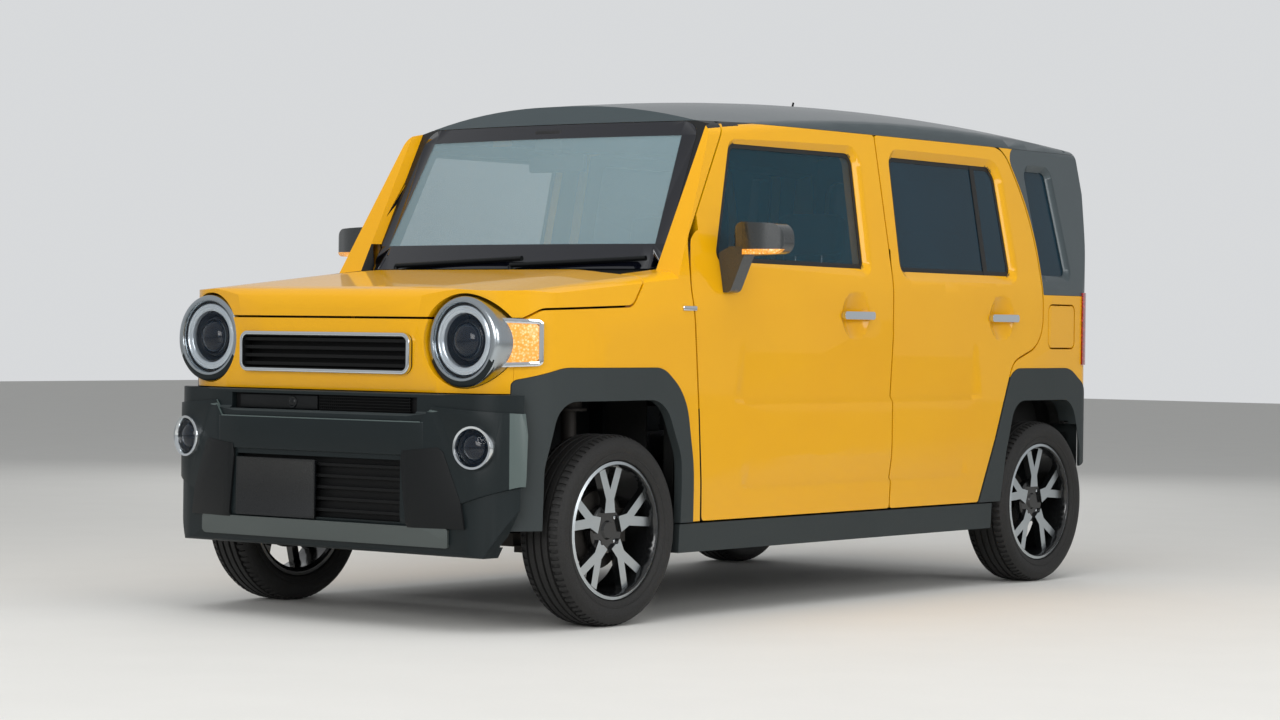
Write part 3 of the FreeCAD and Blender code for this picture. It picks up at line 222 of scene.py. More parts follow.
# Grained soft moulding in the cabin, and the pale cloth of the headlining
cabin_plastic = finish("grained_cabin_plastic", "#1B1C1E", "#222325", 0.6, grain=0.0025, bump=0.25)
headlining = finish("needled_headlining_cloth", "#A9A69E", "#9F9C94", 0.9, grain=0.002, bump=0.2)
# Waxed primer on steel under the floor, and castings with a thin coat
underseal = finish("waxed_primer_steel", "#151616", "#1E1F1E", 0.6, metallic=0.2, grain=0.004, bump=0.2)
cast_metal = finish("coated_cast_iron", "#282827", "#38332F", 0.62, metallic=0.6, grain=0.0035, bump=0.3)
engine_alloy = finish("sand_cast_aluminium", "#6E7070", "#5F6161", 0.5, metallic=0.9, grain=0.003, bump=0.35)
# Laminated glass coloured pale blue-grey, a painted reflection of the sky; tempered glass, thinly tinted; and
# the nearly black glass from the rear doors back
screen_glass_painted_sky = finish("laminated_glass_painted_sky", "#9FB8C0", "#93AEB7", 0.02, alpha=0.40, specular_ior_level=0.6)
side_glass = finish("tempered_green_glass", "#0C4152", "#0A3745", 0.02, alpha=0.42, specular_ior_level=0.5)
privacy_glass = finish("privacy_glass", "#10303F", "#0C2733", 0.02, alpha=0.88, specular_ior_level=0.35)
# Clear polycarbonate over the lamps, faintly blue in its depth
clear_lens = finish("clear_polycarbonate", "#24384E", "#1E3045", 0.02, alpha=0.09, specular_ior_level=0.9)
# Amber and red polycarbonate with a facet pattern moulded into it, each facet lightened at its middle as a
# painted glint
# The amber lens also glows faintly: a painted glow, though the lamp is unlit
amber_lens = finish("amber_polycarbonate_painted_glow", "#F0941E", "#F2B45A", 0.14, grain=0.009, bump=0.9, coat_weight=0.5,
                    emission_strength=0.25, emission_color=linear("#F08A20"))
facet_glints(amber_lens, 0.008, "#FFDFA0")
red_lens = finish("red_polycarbonate_painted_glints", "#9A0C10", "#780A0C", 0.1, grain=0.010, bump=0.2, coat_weight=1.0)
facet_glints(red_lens, 0.012, "#C8383A")
# Inside the lamps: the metallised ring, the smoked housing and the pressed lens
light_guide = finish("frosted_light_guide", "#D3DCE3", "#BFCAD3", 0.22, metallic=0.55, coat_weight=1.0)
lamp_dark = finish("smoked_lamp_housing", "#07090B", "#0C1013", 0.3, specular_ior_level=0.3)
lamp_glass = finish("pressed_lens_glass", "#101A26", "#080D14", 0.03, coat_weight=0.2,
                    specular_ior_level=0.35)
# Silvered glass, the bare boards where number plates go, and black enamel baked round the panes
mirror_glass = finish("silvered_glass", "#C8CED2", "#BCC3C8", 0.02, metallic=1.0)
plate_board = finish("bare_plate_board", "#0C0E10", "#111315", 0.3, grain=0.003, bump=0.04)
frit = finish("baked_black_frit", "#0B0D16", "#0E1019", 0.12, coat_weight=0.6)


# Modelling helpers

def clear():
    """Nothing selected, out of edit mode."""
    if bpy.context.object and bpy.context.object.mode != "OBJECT":
        bpy.ops.object.mode_set(mode="OBJECT")
    bpy.ops.object.select_all(action="DESELECT")


def only(piece):
    """This piece selected and active, and nothing else."""
    clear()
    piece.select_set(True)
    bpy.context.view_layer.objects.active = piece


def edit(piece, choose=None):
    """Into edit mode, with the faces for which choose(centre, normal) holds selected, or everything."""
    only(piece)
    bpy.ops.object.mode_set(mode="EDIT")
    bpy.ops.mesh.select_mode(type="FACE")
    bpy.ops.mesh.select_all(action="SELECT" if choose is None else "DESELECT")
    if choose:
        form = bmesh.from_edit_mesh(piece.data)
        for face in form.faces:
            face.select_set(bool(choose(face.calc_center_median(), face.normal)))
        bmesh.update_edit_mesh(piece.data)


def settle():
    """The active piece's place, turn and size go into its mesh."""
    bpy.ops.object.transform_apply(location=True, rotation=True, scale=True)


def done(piece, material=None, smooth=30.0):
    """Out of edit mode, settled, shaded smooth below an angle in degrees, and in its finish."""
    only(piece)
    settle()
    if smooth:
        bpy.ops.object.shade_smooth_by_angle(angle=math.radians(smooth))
    if material:
        piece.data.materials.clear()
        piece.data.materials.append(material)
    return piece


def outward(piece):
    """Merges the piece's doubles and turns its faces outward."""
    edit(piece)
    bpy.ops.mesh.remove_doubles(threshold=MERGE)
    bpy.ops.mesh.normals_make_consistent(inside=False)


def apply(piece, kind, **settings):
    """Adds a modifier and applies it."""
    only(piece)
    made = piece.modifiers.new(kind.lower(), kind)
    for key, value in settings.items():
        setattr(made, key, value)
    bpy.ops.object.modifier_apply(modifier=made.name)


def round_edges(piece, width, segments, sharp):
    """Rounds the edges that turn by more than sharp degrees."""
    apply(piece, "BEVEL", width=width, segments=segments, limit_method="ANGLE",
          angle_limit=math.radians(sharp))


def new_piece(name):
    """The piece just added, named."""
    piece = bpy.context.object
    piece.name = name
    piece.data.name = name
    return piece


def copy_of(node, name):
    """A free copy of a CAD node's shape, with its doubles merged."""
    source = frame["nodes"][node]
    piece = source.copy()
    piece.data = source.data.copy()
    piece.name = piece.data.name = name
    for key in [k for k in piece.keys() if k.startswith("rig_")]:
        del piece[key]
    piece.parent = None
    bpy.context.scene.collection.objects.link(piece)
    piece.hide_viewport = piece.hide_render = False
    piece.hide_set(False)
    edit(piece)
    bpy.ops.mesh.remove_doubles(threshold=MERGE)
    return piece


def slab(name, low, high, material, edge=0.003, steps=2, body="body", rows=()):
    """A block between two corners with rounded edges, repeated by rows of (count, offset)."""
    clear()
    low, high = Vector(low), Vector(high)
    bpy.ops.mesh.primitive_cube_add(size=1, location=(low + high) / 2, scale=high - low)
    piece = new_piece(name)
    settle()
    edit(piece)
    bpy.ops.mesh.bevel(offset=edge, segments=steps, affect="EDGES")
    done(piece, material)
    for count, offset in rows:
        apply(piece, "ARRAY", count=count, use_relative_offset=False, use_constant_offset=True,
              constant_offset_displace=offset)
    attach(piece, body)
    return piece


def mirrored_slab(name, low, high, *rest, **more):
    """The same slab on both sides; low and high are the left one's corners."""
    for side, s in SIDES:
        x0, x1 = sorted((s * low[0], s * high[0]))
        slab(f"{name}_{side}", (x0, low[1], low[2]), (x1, high[1], high[2]), *rest, **more)


def turned(name, centre, axis, steps, material, segments=48, body="body", caps=True):
    """A turned piece: a circle drawn out along the axis through steps of (radius, distance along it).

    It is closed by a cap at each end, or without caps by a wall between its first step and its last.
    """
    clear()
    bpy.ops.mesh.primitive_circle_add(vertices=segments, radius=steps[0][0], fill_type="NOTHING")
    piece = new_piece(name)
    bpy.ops.object.mode_set(mode="EDIT")
    bpy.ops.mesh.select_mode(type="VERT")
    bpy.ops.mesh.select_all(action="SELECT")
    bpy.ops.transform.translate(value=(0, 0, steps[0][1]))
    for (radius, start), (next_radius, end) in zip(steps, steps[1:]):
        growth = next_radius / radius
        bpy.ops.mesh.extrude_region_move(TRANSFORM_OT_translate={"value": (0, 0, end - start)})
        bpy.ops.transform.resize(value=(growth, growth, 1), center_override=(0, 0, end))
    if caps:
        bpy.ops.mesh.edge_face_add()
        bpy.ops.mesh.select_all(action="DESELECT")
        form = bmesh.from_edit_mesh(piece.data)
        form.verts.ensure_lookup_table()
        for vertex in form.verts[:segments]:
            vertex.select_set(True)
        form.select_flush(True)
        bmesh.update_edit_mesh(piece.data)
        bpy.ops.mesh.edge_face_add()
    else:
        bpy.ops.mesh.select_all(action="DESELECT")
        bpy.ops.mesh.select_non_manifold()
        bpy.ops.mesh.bridge_edge_loops()
    outward(piece)
    clear()
    turn = Vector(axis).to_track_quat("Z", "Y").to_matrix().to_4x4()
    piece.matrix_world = Matrix.Translation(centre) @ turn
    done(piece, material, smooth=40)
    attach(piece, body)
    return piece


def dress(node, material, edge=0.0025, steps=2, smooth=35.0):
    """A copy of a CAD node with its edges rounded, which stands for it."""
    piece = copy_of(node, node + "_finished")
    bpy.ops.mesh.dissolve_limited(angle_limit=FLAT)
    done(piece, material, smooth=0)
    round_edges(piece, edge, steps, PANEL_EDGE)
    done(piece, smooth=smooth)
    apply(piece, "WEIGHTED_NORMAL", keep_sharp=True, weight=60)
    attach(piece, frame["nodes"][node]["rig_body"])
    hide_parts(node)
    return piece


def second_finish(piece, material, choose):
    """Gives the faces for which choose(face, corners) holds another finish."""
    piece.data.materials.append(material)
    index = len(piece.data.materials) - 1
    for face in piece.data.polygons:
        if choose(face, [piece.data.vertices[i].co for i in face.vertices]):
            face.material_index = index


def repaint(node, material):
    """Gives a CAD node that stays in sight its finish."""
    data = frame["nodes"][node].data
    data.materials.clear()
    data.materials.append(material)


def cut_by(piece, cuts):
    """Takes off what lies beyond each cut, given as (point, way that is taken off), and closes the cut."""
    for point, away in cuts:
        edit(piece)
        bpy.ops.mesh.bisect(plane_co=point, plane_no=away, use_fill=True, clear_outer=True)
    clear()


def within(outline, s):
    """The cuts that leave the inside of a convex outline of (x, z) points, anticlockwise, on side s."""
    cuts = []
    for (x0, z0), (x1, z1) in zip(outline, outline[1:] + outline[:1]):
        cuts.append(((s * x0, 0, z0), (s * (z1 - z0), 0, x0 - x1)))
    return cuts


def slice_of(node, name, cuts, material, proud, edge=0.0):
    """The part of a node between cuts, standing proud of it, with its edges rounded if edge is given."""
    piece = copy_of(node, name)
    cut_by(piece, cuts)
    edit(piece)
    bpy.ops.mesh.dissolve_limited(angle_limit=FLAT)
    edit(piece)
    bpy.ops.transform.shrink_fatten(value=proud, use_even_offset=True)
    done(piece, material, smooth=0)
    if edge:
        round_edges(piece, edge, 3, SLICE_EDGE)
    done(piece)
    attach(piece, frame["nodes"][node]["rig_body"])
    return piece


# Painted panels, with trim on the sides that face the cabin and primer in the wheel arches
ARCH_REACH = 0.50
FRONT_ARCH_END = -0.70
FRONT_ARCH_TOP = 0.78
GRIP_LOW = 0.922
GRIP_HIGH = 0.966


def faces_in(face, low):
    """True for a side panel's face that looks towards the middle of the car."""
    return face.normal.x * math.copysign(1, face.center.x) < -0.5 and face.center.z > low


def in_arch(face):
    """True for a face that looks at a wheel, or lies low and behind the skin."""
    for axle in (at(0), at(WHEELBASE)):
        away = Vector((0, face.center.y - axle, face.center.z - HUB_Z))
        if away.length < ARCH_REACH and face.normal.dot(away.normalized()) < -0.45:
            return True
    return abs(face.center.x) < 0.70 and face.center.z < 0.74


def behind_skin(face):
    """True for a face of the window frames that lies 20 mm behind the skin and doesn't look forward."""
    skin = SKIN_X - max(face.center.z - BELT_Z, 0) * SIDE_LEAN
    return face.center.z > BELT_Z + 0.01 and abs(face.center.x) < skin - 0.02 and face.normal.y > -0.5


def in_front_arch(face, corners):
    """True for a face that looks forward into the front wheel arch."""
    return face.center.y < FRONT_ARCH_END and face.center.z < FRONT_ARCH_TOP and face.normal.y < -0.3


def in_screen_opening(face, least, most):
    """True for a face beside the windscreen that looks forward by a share between least and most."""
    beside = face.center.z > 1.15 and -0.80 < face.center.y < -0.55 and abs(face.center.x) < 0.63
    return beside and least < -face.normal.y < most


def handle_bar(face, corners):
    """True for a face of a door handle's grip, which stands out of its cup."""
    return all(abs(c.x) > SKIN_X and GRIP_LOW < c.z < GRIP_HIGH for c in corners)


for corner, end, s in CORNERS:
    door = dress("door_" + corner, paint)
    second_finish(door, cabin_plastic, lambda face, corners: faces_in(face, 0.3) or behind_skin(face))
    second_finish(door, underseal, in_front_arch)
    second_finish(door, chrome, handle_bar)
sides = dress("side_frames", paint)
second_finish(sides, cabin_plastic, lambda face, corners: faces_in(face, 0.75) or behind_skin(face))
second_finish(sides, underseal, lambda face, corners: in_arch(face) or in_front_arch(face, corners))
second_finish(sides, paint, lambda face, corners: in_screen_opening(face, 0.20, 0.40))
second_finish(sides, seal_rubber, lambda face, corners: in_screen_opening(face, 0.80, 0.90))
fenders = dress("front_fenders", paint)
second_finish(fenders, underseal, lambda face, corners: in_arch(face) or faces_in(face, 0.3))
for node in ("bonnet", "nose_panel", "fuel_lid"):
    dress(node, paint)
tailgate = dress("tailgate", paint)
second_finish(tailgate, cabin_plastic, lambda face, corners: face.normal.y < -0.5)
roof = dress("roof_panel", roof_paint)
second_finish(roof, headlining, lambda face, corners: face.normal.z < -0.5 and abs(face.center.x) < 0.6)
garnish = dress("quarter_garnish", roof_paint)
second_finish(garnish, cabin_plastic, lambda face, corners: faces_in(face, 1.0))

# Unpainted plastics, and the front bumper with its lower corners cut off towards the wheels
dress("arch_trims", cladding)
bumper = dress("front_bumper", bumper_plastic, edge=0.004, steps=3)
lower_corners = [((s * 0.615, 0, 0.224), (s * 0.263, 0, -0.145)) for side, s in SIDES]
cut_by(bumper, lower_corners)
done(bumper)
second_finish(bumper, cladding, lambda face, corners: face.normal.z > 0.55 and face.center.z > 0.6)

# The bumper's raised face in three plates, and the darker guards beside the number plate
FACE_PROUD = 0.007
GUARD_PROUD = 0.009
FACE_MIDDLE = [(-0.414, 0.520), (0.414, 0.520), (0.414, 0.606), (-0.414, 0.606)]
FACE_OUTER = [(0.412, 0.400), (0.540, 0.384), (0.706, 0.440), (0.690, 0.634), (0.446, 0.650), (0.412, 0.606)]
GUARD = [(0.372, 0.312), (0.548, 0.312), (0.536, 0.384), (0.480, 0.520), (0.466, 0.530), (0.352, 0.518),
         (0.350, 0.500)]
face_plate = slice_of("front_bumper", "bumper_face_middle", within(FACE_MIDDLE, 1), bumper_plastic,
                      FACE_PROUD, edge=0.005)
# The upward-sloping chamfers take the painted highlight
second_finish(face_plate, bumper_painted_highlight, lambda face, corners: 0.25 < face.normal.z < 0.98)
for side, s in SIDES:
    face_plate = slice_of("front_bumper", "bumper_face_" + side, within(FACE_OUTER, s), bumper_plastic,
                          FACE_PROUD, edge=0.006)
    # The upward and outward chamfers take the painted highlight
    second_finish(face_plate, bumper_painted_highlight, lambda face, corners: 0.25 < face.normal.z < 0.98
                  or 0.45 < face.normal.x * s < 0.99 and all(abs(c.x) > 0.672 for c in corners))
    slice_of("front_bumper", "bumper_guard_" + side, within(GUARD, s), black_plastic, GUARD_PROUD, edge=0.006)
dress("rear_bumper", cladding, edge=0.004)
dress("skid_garnish", skid_paint, edge=0.004, steps=3)
dress("lower_grille", louvre_black, edge=0.0015)
dress("grille", louvre_black, edge=0.002)

# The chrome rim round the grille: a rounded plate with its middle taken out, thickened
RIM_PLACE = (0, at(-0.5225), 0.8095)
RIM_LENGTH = 0.696
RIM_HEIGHT = 0.123
RIM_WIDTH = 0.0125
RIM_DEPTH = 0.016
RIM_CORNER = 0.029
clear()
bpy.ops.mesh.primitive_plane_add(size=1, location=RIM_PLACE, rotation=(math.pi / 2, 0, 0))
grille_rim = new_piece("grille_rim")
grille_rim.scale = (RIM_LENGTH, RIM_HEIGHT, 1)
settle()
bpy.ops.object.mode_set(mode="EDIT")
bpy.ops.mesh.select_mode(type="VERT")
bpy.ops.mesh.select_all(action="SELECT")
bpy.ops.mesh.bevel(offset=RIM_CORNER, segments=8, affect="VERTICES")
edit(grille_rim)
bpy.ops.mesh.inset(thickness=RIM_WIDTH)
bpy.ops.mesh.delete(type="FACE")
done(grille_rim, chrome, smooth=0)
apply(grille_rim, "SOLIDIFY", thickness=RIM_DEPTH, offset=-1.0)
round_edges(grille_rim, 0.004, 3, RIM_EDGE)
done(grille_rim)
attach(grille_rim, "body")

# The slot over the lower grille: a blank cover with a sensor on the right-hand side, and mesh on the left
SLOT_Y = at(-0.504)
SENSOR = [(0.019, -0.004), (0.019, 0.002), (0.017, 0.004), (0.013, 0.003), (0.011, 0.0045), (0.004, 0.006)]
MESH_EDGE = 0.0006
slab("slot_cover", (-0.352, SLOT_Y - 0.007, 0.636), (-0.028, SLOT_Y + 0.004, 0.678), black_plastic, 0.003)
turned("slot_sensor", (-0.130, SLOT_Y - 0.007, 0.657), (0, -1, 0), SENSOR, lamp_dark, 40)
slab("slot_mesh_uprights", (-0.020, SLOT_Y - 0.005, 0.632), (-0.0175, SLOT_Y + 0.004, 0.682), louvre_black,
     MESH_EDGE, 1, rows=[(46, (0.008, 0, 0))])
slab("slot_mesh_rails", (-0.020, SLOT_Y - 0.006, 0.638), (0.348, SLOT_Y + 0.003, 0.6405), louvre_black,
     MESH_EDGE, 1, rows=[(5, (0, 0, 0.009))])
slab("lower_mesh_uprights", (0.006, at(-0.508), 0.317), (0.0085, at(-0.496), 0.497), louvre_black,
     MESH_EDGE, 1, rows=[(42, (0.0078, 0, 0))])


def bare_plate(name, low, high, facing, body):
    """A bare plate board: a rounded board with a raised rim round the face that looks the way facing."""
    board = slab(name, low, high, plate_board, 0.0028, 2, body)
    edit(board, lambda centre, normal: normal.y * facing > 0.9)
    bpy.ops.mesh.inset(thickness=0.005, depth=-0.0015)
    done(board)


bare_plate("front_plate_board", (-0.333, at(-0.546), 0.311), (-0.003, at(-0.536), 0.488), -1, "body")
bare_plate("rear_plate_board", (-0.165, 1.688, 0.742), (0.165, 1.6965, 0.907), 1, "tailgate")

# Glass, its baked black edge, and the seals
# The windscreen's pale blue-grey is a painted reflection of the sky
repaint("windscreen", screen_glass_painted_sky)
for side, s in SIDES:
    repaint("window_front_" + side, side_glass)
    repaint("window_rear_" + side, privacy_glass)
repaint("quarter_glass", privacy_glass)
repaint("tailgate_glass", privacy_glass)


def border(node, width, thickness, material, outwards):
    """A band round the edge of a pane: its outer face inset, the middle taken out, the rest thickened."""
    piece = copy_of(node, node + "_band")
    edit(piece, lambda centre, normal: normal.dot(outwards) < 0.6)
    bpy.ops.mesh.delete(type="FACE")
    edit(piece)
    bpy.ops.mesh.dissolve_limited(angle_limit=math.radians(1.0))
    bpy.ops.mesh.select_all(action="SELECT")
    bpy.ops.mesh.inset(thickness=width, depth=0, use_boundary=True, use_even_offset=True)
    bpy.ops.mesh.delete(type="FACE")
    done(piece, material, smooth=0)
    apply(piece, "SOLIDIFY", thickness=thickness, offset=1.0)
    done(piece)
    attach(piece, frame["nodes"][node]["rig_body"])


# Seals round the doors' windows, and the bar that divides the rear ones
divider_bar = [((0, at(2.086), 0), (0, -1, 0)), ((0, at(2.106), 0), (0, 1, 0))]
for side, s in SIDES:
    for end in ("front", "rear"):
        border(f"window_{end}_{side}", 0.014, 0.0016, seal_rubber, Vector((s, 0, 0)))
    slice_of("window_rear_" + side, "window_divider_" + side, divider_bar, seal_rubber, 0.003)

# The windscreen's black edge in four slices: below FRIT_LOW, above FRIT_HIGH, and up both sides
FRIT_LOW = 1.155
FRIT_HIGH = 1.505
FRIT_PROUD = 0.0008
slice_of("windscreen", "screen_edge_low", [((0, 0, FRIT_LOW), (0, 0, 1))], frit, FRIT_PROUD)
slice_of("windscreen", "screen_edge_high", [((0, 0, FRIT_HIGH), (0, 0, -1))], frit, FRIT_PROUD)
for side, s in SIDES:
    beside = [((0, 0, FRIT_LOW), (0, 0, -1)), ((0, 0, FRIT_HIGH), (0, 0, 1)),
              ((s * 0.566, 0, 1.1), (-s, 0, -0.110))]
    slice_of("windscreen", "screen_edge_" + side, beside, frit, FRIT_PROUD)
border("tailgate_glass", 0.026, 0.0006, frit, Vector((0, 1, 0.1)))

# Door mirrors: the housing, its glass, and the amber strip low on the face that looks forward
for side, s in SIDES:
    mirror = dress("mirror_" + side, mirror_cover, edge=0.008, steps=4)
    mirror.data.materials.append(mirror_glass)
    edit(mirror, lambda centre, normal: normal.y > 0.95 and centre.z > 1.12)
    bpy.ops.mesh.inset(thickness=0.005, depth=-0.003)
    mirror.active_material_index = 1
    bpy.ops.object.material_slot_assign()
    done(mirror, smooth=0)
    strip = [((0, 0, 1.140), (0, 0, 1)), ((0, 0, 1.126), (0, 0, -1)), ((s * 0.800, 0, 0), (-s, 0, 0)),
             ((0, -0.610, 0), (0, 1, 0))]
    slice_of("mirror_" + side, "mirror_signal_" + side, strip, amber_lens, 0.0012)

# Lamps at the nose
LAMP_X = 0.521
LAMP_Y = at(-0.470)
LAMP_Z = 0.846
EYE_LIFT = 0.005
BEZEL = [(0.1340, -0.10), (0.1350, -0.010), (0.1345, 0.004), (0.1325, 0.0100), (0.1290, 0.0130),
         (0.1190, 0.0160), (0.1120, 0.0150), (0.1085, 0.008), (0.1075, -0.004), (0.1070, -0.05)]
# What the ring holds: the part, its finish, the points round it, whether it has caps, and its steps
EYE_PARTS = (
    ("gasket", seal_rubber, 96, False,
     [(0.1072, -0.050), (0.1072, 0.004), (0.1045, 0.004), (0.1045, -0.050)]),
    ("guide", light_guide, 96, False,
     [(0.1040, -0.050), (0.1040, -0.002), (0.1010, 0.0050), (0.0960, 0.0070), (0.0935, 0.0050),
      (0.0925, 0.0055), (0.0860, 0.0060), (0.0800, 0.0020), (0.0775, -0.008), (0.0770, -0.050)]),
    ("bowl", lamp_dark, 96, True,
     [(0.105, -0.055), (0.105, -0.051), (0.0768, -0.050), (0.0768, -0.008), (0.0740, -0.0075),
      (0.0680, -0.020), (0.0610, -0.024), (0.0590, -0.014), (0.0545, -0.012), (0.0510, -0.030),
      (0.006, -0.034)]),
    ("collar", satin_chrome, 64, False,
     [(0.0540, -0.033), (0.0540, -0.010), (0.0525, -0.008), (0.0515, -0.010), (0.0515, -0.033)]),
    ("projector", lamp_glass, 64, True,
     [(0.0510, -0.032), (0.0510, -0.014), (0.0480, -0.005), (0.0390, 0.0035), (0.0270, 0.0085),
      (0.0130, 0.0110), (0.002, 0.0116)]),
    ("cover", clear_lens, 96, True,
     [(0.1070, 0.0050), (0.1040, 0.0110), (0.0960, 0.0150), (0.0700, 0.0190), (0.0360, 0.0212),
      (0.002, 0.0220)]),
)


def headlamp(side, s):
    """A round lamp: a ring that is widest and dark below, and the parts that it holds, by their names."""
    spot = (s * LAMP_X, LAMP_Y, LAMP_Z)
    eye = (s * LAMP_X, LAMP_Y, LAMP_Z + EYE_LIFT)
    ahead = (0, -1, 0)

    def from_middle(point):
        return math.hypot(point.x - s * LAMP_X, point.z - LAMP_Z)

    bezel = turned("headlamp_bezel_" + side, spot, ahead, BEZEL, satin_chrome, 96, caps=False)
    for vertex in bezel.data.vertices:
        if from_middle(vertex.co) < 0.1255:
            vertex.co.z += EYE_LIFT
    second_finish(bezel, bumper_plastic, lambda face, corners: face.center.z < LAMP_Z - 0.05
                  and 0.116 < from_middle(face.center) < 0.1315)
    parts = {"bezel": bezel}
    for part, material, segments, caps, steps in EYE_PARTS:
        parts[part] = turned(f"headlamp_{part}_{side}", eye, ahead, steps, material, segments, caps=caps)
    return parts


# The turn signals lie round the nose's corners in strips, and their lenses end at about SIGNAL_END_Y
SIGNAL_END_Y = at(-0.336)
SIGNAL_STRIP = 0.006
SIGNAL_CORNER = 0.016
SIGNAL_TAPER = 0.93

# The corner's line is found with rays that come in towards a point under the lamp, RAY_STEP degrees apart
RAYS = 60
RAY_TARGET = Vector((0.50, -1.40, 0.772))
RAY_LENGTH = 0.6
RAY_START = 20
RAY_STEP = 1.3


def nose_line():
    """Points along the left corner of the nose, found on the CAD fender with rays just under the lamp."""
    fender = frame["nodes"]["front_fenders"].data
    skin = BVHTree.FromPolygons([v.co for v in fender.vertices], [p.vertices for p in fender.polygons])
    line = []
    for step in range(RAYS):
        turn = math.radians(RAY_START + step * RAY_STEP)
        way = Vector((math.sin(turn), -math.cos(turn), 0))
        hit = skin.ray_cast(RAY_TARGET + way * RAY_LENGTH, -way)[0]
        if hit and hit.x > 0.655 and (not line or hit.y > line[-1].y):
            line.append(hit)
    first = line[0] + (line[0] - line[2]).normalized() * 0.07
    first.z = line[0].z
    return [first] + line


NOSE_LINE = nose_line()


def on_nose(along):
    """The point that far along the nose's corner, and the way out from it, for the left side."""
    for start, end in zip(NOSE_LINE, NOSE_LINE[1:]):
        run = (end - start).length
        if along <= run or end is NOSE_LINE[-1]:
            way = (end - start).normalized()
            return start + way * along, Vector((way.y, -way.x, 0))
        along -= run


def nose_length(y):
    """How far it is along the nose's corner to that Y."""
    total = 0.0
    for start, end in zip(NOSE_LINE, NOSE_LINE[1:]):
        if end.y > y:
            return total + (end - start).length * (y - start.y) / (end.y - start.y)
        total += (end - start).length
    return total


def signal_plate(name, s, end, half, out, deep, material, rim=0.0):
    """A rounded plate laid round the nose's corner as far as end, or with rim only a frame of that width.

    half is half its height, out is how far it stands off the nose, and deep is its thickness.
    """
    clear()
    bpy.ops.mesh.primitive_plane_add(size=1, location=(end / 2, 0, 0), rotation=(math.pi / 2, 0, 0))
    piece = new_piece(name)
    piece.scale = (end, 2 * half, 1)
    settle()
    for vertex in piece.data.vertices:
        if vertex.co.x > end / 2:
            vertex.co.z *= SIGNAL_TAPER
    edit(piece)
    bpy.ops.mesh.select_all(action="DESELECT")
    bpy.ops.mesh.select_mode(type="VERT")
    form = bmesh.from_edit_mesh(piece.data)
    for vertex in form.verts:
        vertex.select_set(vertex.co.x > end / 2)
    bmesh.update_edit_mesh(piece.data)
    bpy.ops.mesh.bevel(offset=SIGNAL_CORNER, segments=5, affect="VERTICES")
    if rim:
        edit(piece)
        bpy.ops.mesh.inset(thickness=rim)
        bpy.ops.mesh.delete(type="FACE")
    for k in range(1, int(end / SIGNAL_STRIP)):
        edit(piece)
        bpy.ops.mesh.bisect(plane_co=(k * SIGNAL_STRIP, 0, 0), plane_no=(1, 0, 0))
    clear()
    for vertex in piece.data.vertices:
        spot, way = on_nose(vertex.co.x)
        place = spot + way * out
        vertex.co = Vector((s * place.x, place.y, LAMP_Z + vertex.co.z))
    done(piece, material, smooth=0)
    edit(piece)
    bpy.ops.mesh.normals_make_consistent(inside=False)
    clear()
    if sum(face.normal.y for face in piece.data.polygons) > 0:
        edit(piece)
        bpy.ops.mesh.flip_normals()
        clear()
    apply(piece, "SOLIDIFY", thickness=deep, offset=-1.0)
    round_edges(piece, 0.002, 2, RIM_EDGE)
    done(piece)
    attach(piece, "body")


def turn_signal(side, s):
    """The turn signal beside a headlamp: an amber lens in a chrome frame on the corner of the nose."""
    end = nose_length(SIGNAL_END_Y)
    signal_plate("turn_signal_frame_" + side, s, end + 0.006, 0.072, 0.0165, 0.020, chrome, rim=0.013)
    signal_plate("turn_signal_lens_" + side, s, end - 0.006, 0.060, 0.0145, 0.016, amber_lens)


# The fog lamps look a little outward, as the bumper does there
FOG_X = 0.586
FOG_Y = at(-0.500)
FOG_Z = 0.541
FOG_RING = [(0.064, -0.02), (0.065, 0.010), (0.0625, 0.0155), (0.056, 0.0150), (0.050, 0.004), (0.049, -0.02)]
FOG_BOWL = [(0.0505, -0.022), (0.0500, 0.003), (0.044, -0.004), (0.028, -0.014), (0.006, -0.018)]
FOG_LENS = [(0.036, -0.012), (0.036, 0.001), (0.030, 0.007), (0.018, 0.011), (0.003, 0.012)]
FOG_COVER = [(0.0500, 0.002), (0.0500, 0.006), (0.040, 0.011), (0.020, 0.0145), (0.002, 0.0155)]
for side, s in SIDES:
    lamp = headlamp(side, s)
    turn_signal(side, s)
    spot = (s * FOG_X, FOG_Y, FOG_Z)
    outlook = (s * 0.19, -1, 0)
    turned("fog_lamp_ring_" + side, spot, outlook, FOG_RING, chrome, 72, caps=False)
    fog_bowl = turned("fog_lamp_bowl_" + side, spot, outlook, FOG_BOWL, lamp_dark, 72)
    turned("fog_lamp_lens_" + side, spot, outlook, FOG_LENS, lamp_glass, 56)
    turned("fog_lamp_cover_" + side, spot, outlook, FOG_COVER, clear_lens, 64)
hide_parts("headlamps")
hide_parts("fog_lamps")
dress("tail_lamps", red_lens, edge=0.004, steps=3)

# Wheels and tyres
TREAD_RADIUS = 0.287
GROOVE_RADIUS = 0.280
SHOULDER_BLOCKS = 80
TYRE_SIDE = [(0.2085, -0.060), (0.2120, -0.0705), (0.2200, -0.0750), (0.2260, -0.0765), (0.2270, -0.0780),
             (0.2310, -0.0780), (0.2320, -0.0770), (0.2440, -0.0815), (0.2580, -0.0815), (0.2700, -0.0770),
             (0.2790, -0.0690), (0.2845, -0.0590), (0.2860, -0.0470)]
NUT = [(0.0074, 0), (0.0074, 0.012), (0.0060, 0.0150), (0.002, 0.0165)]
NUT_CIRCLE = 0.05


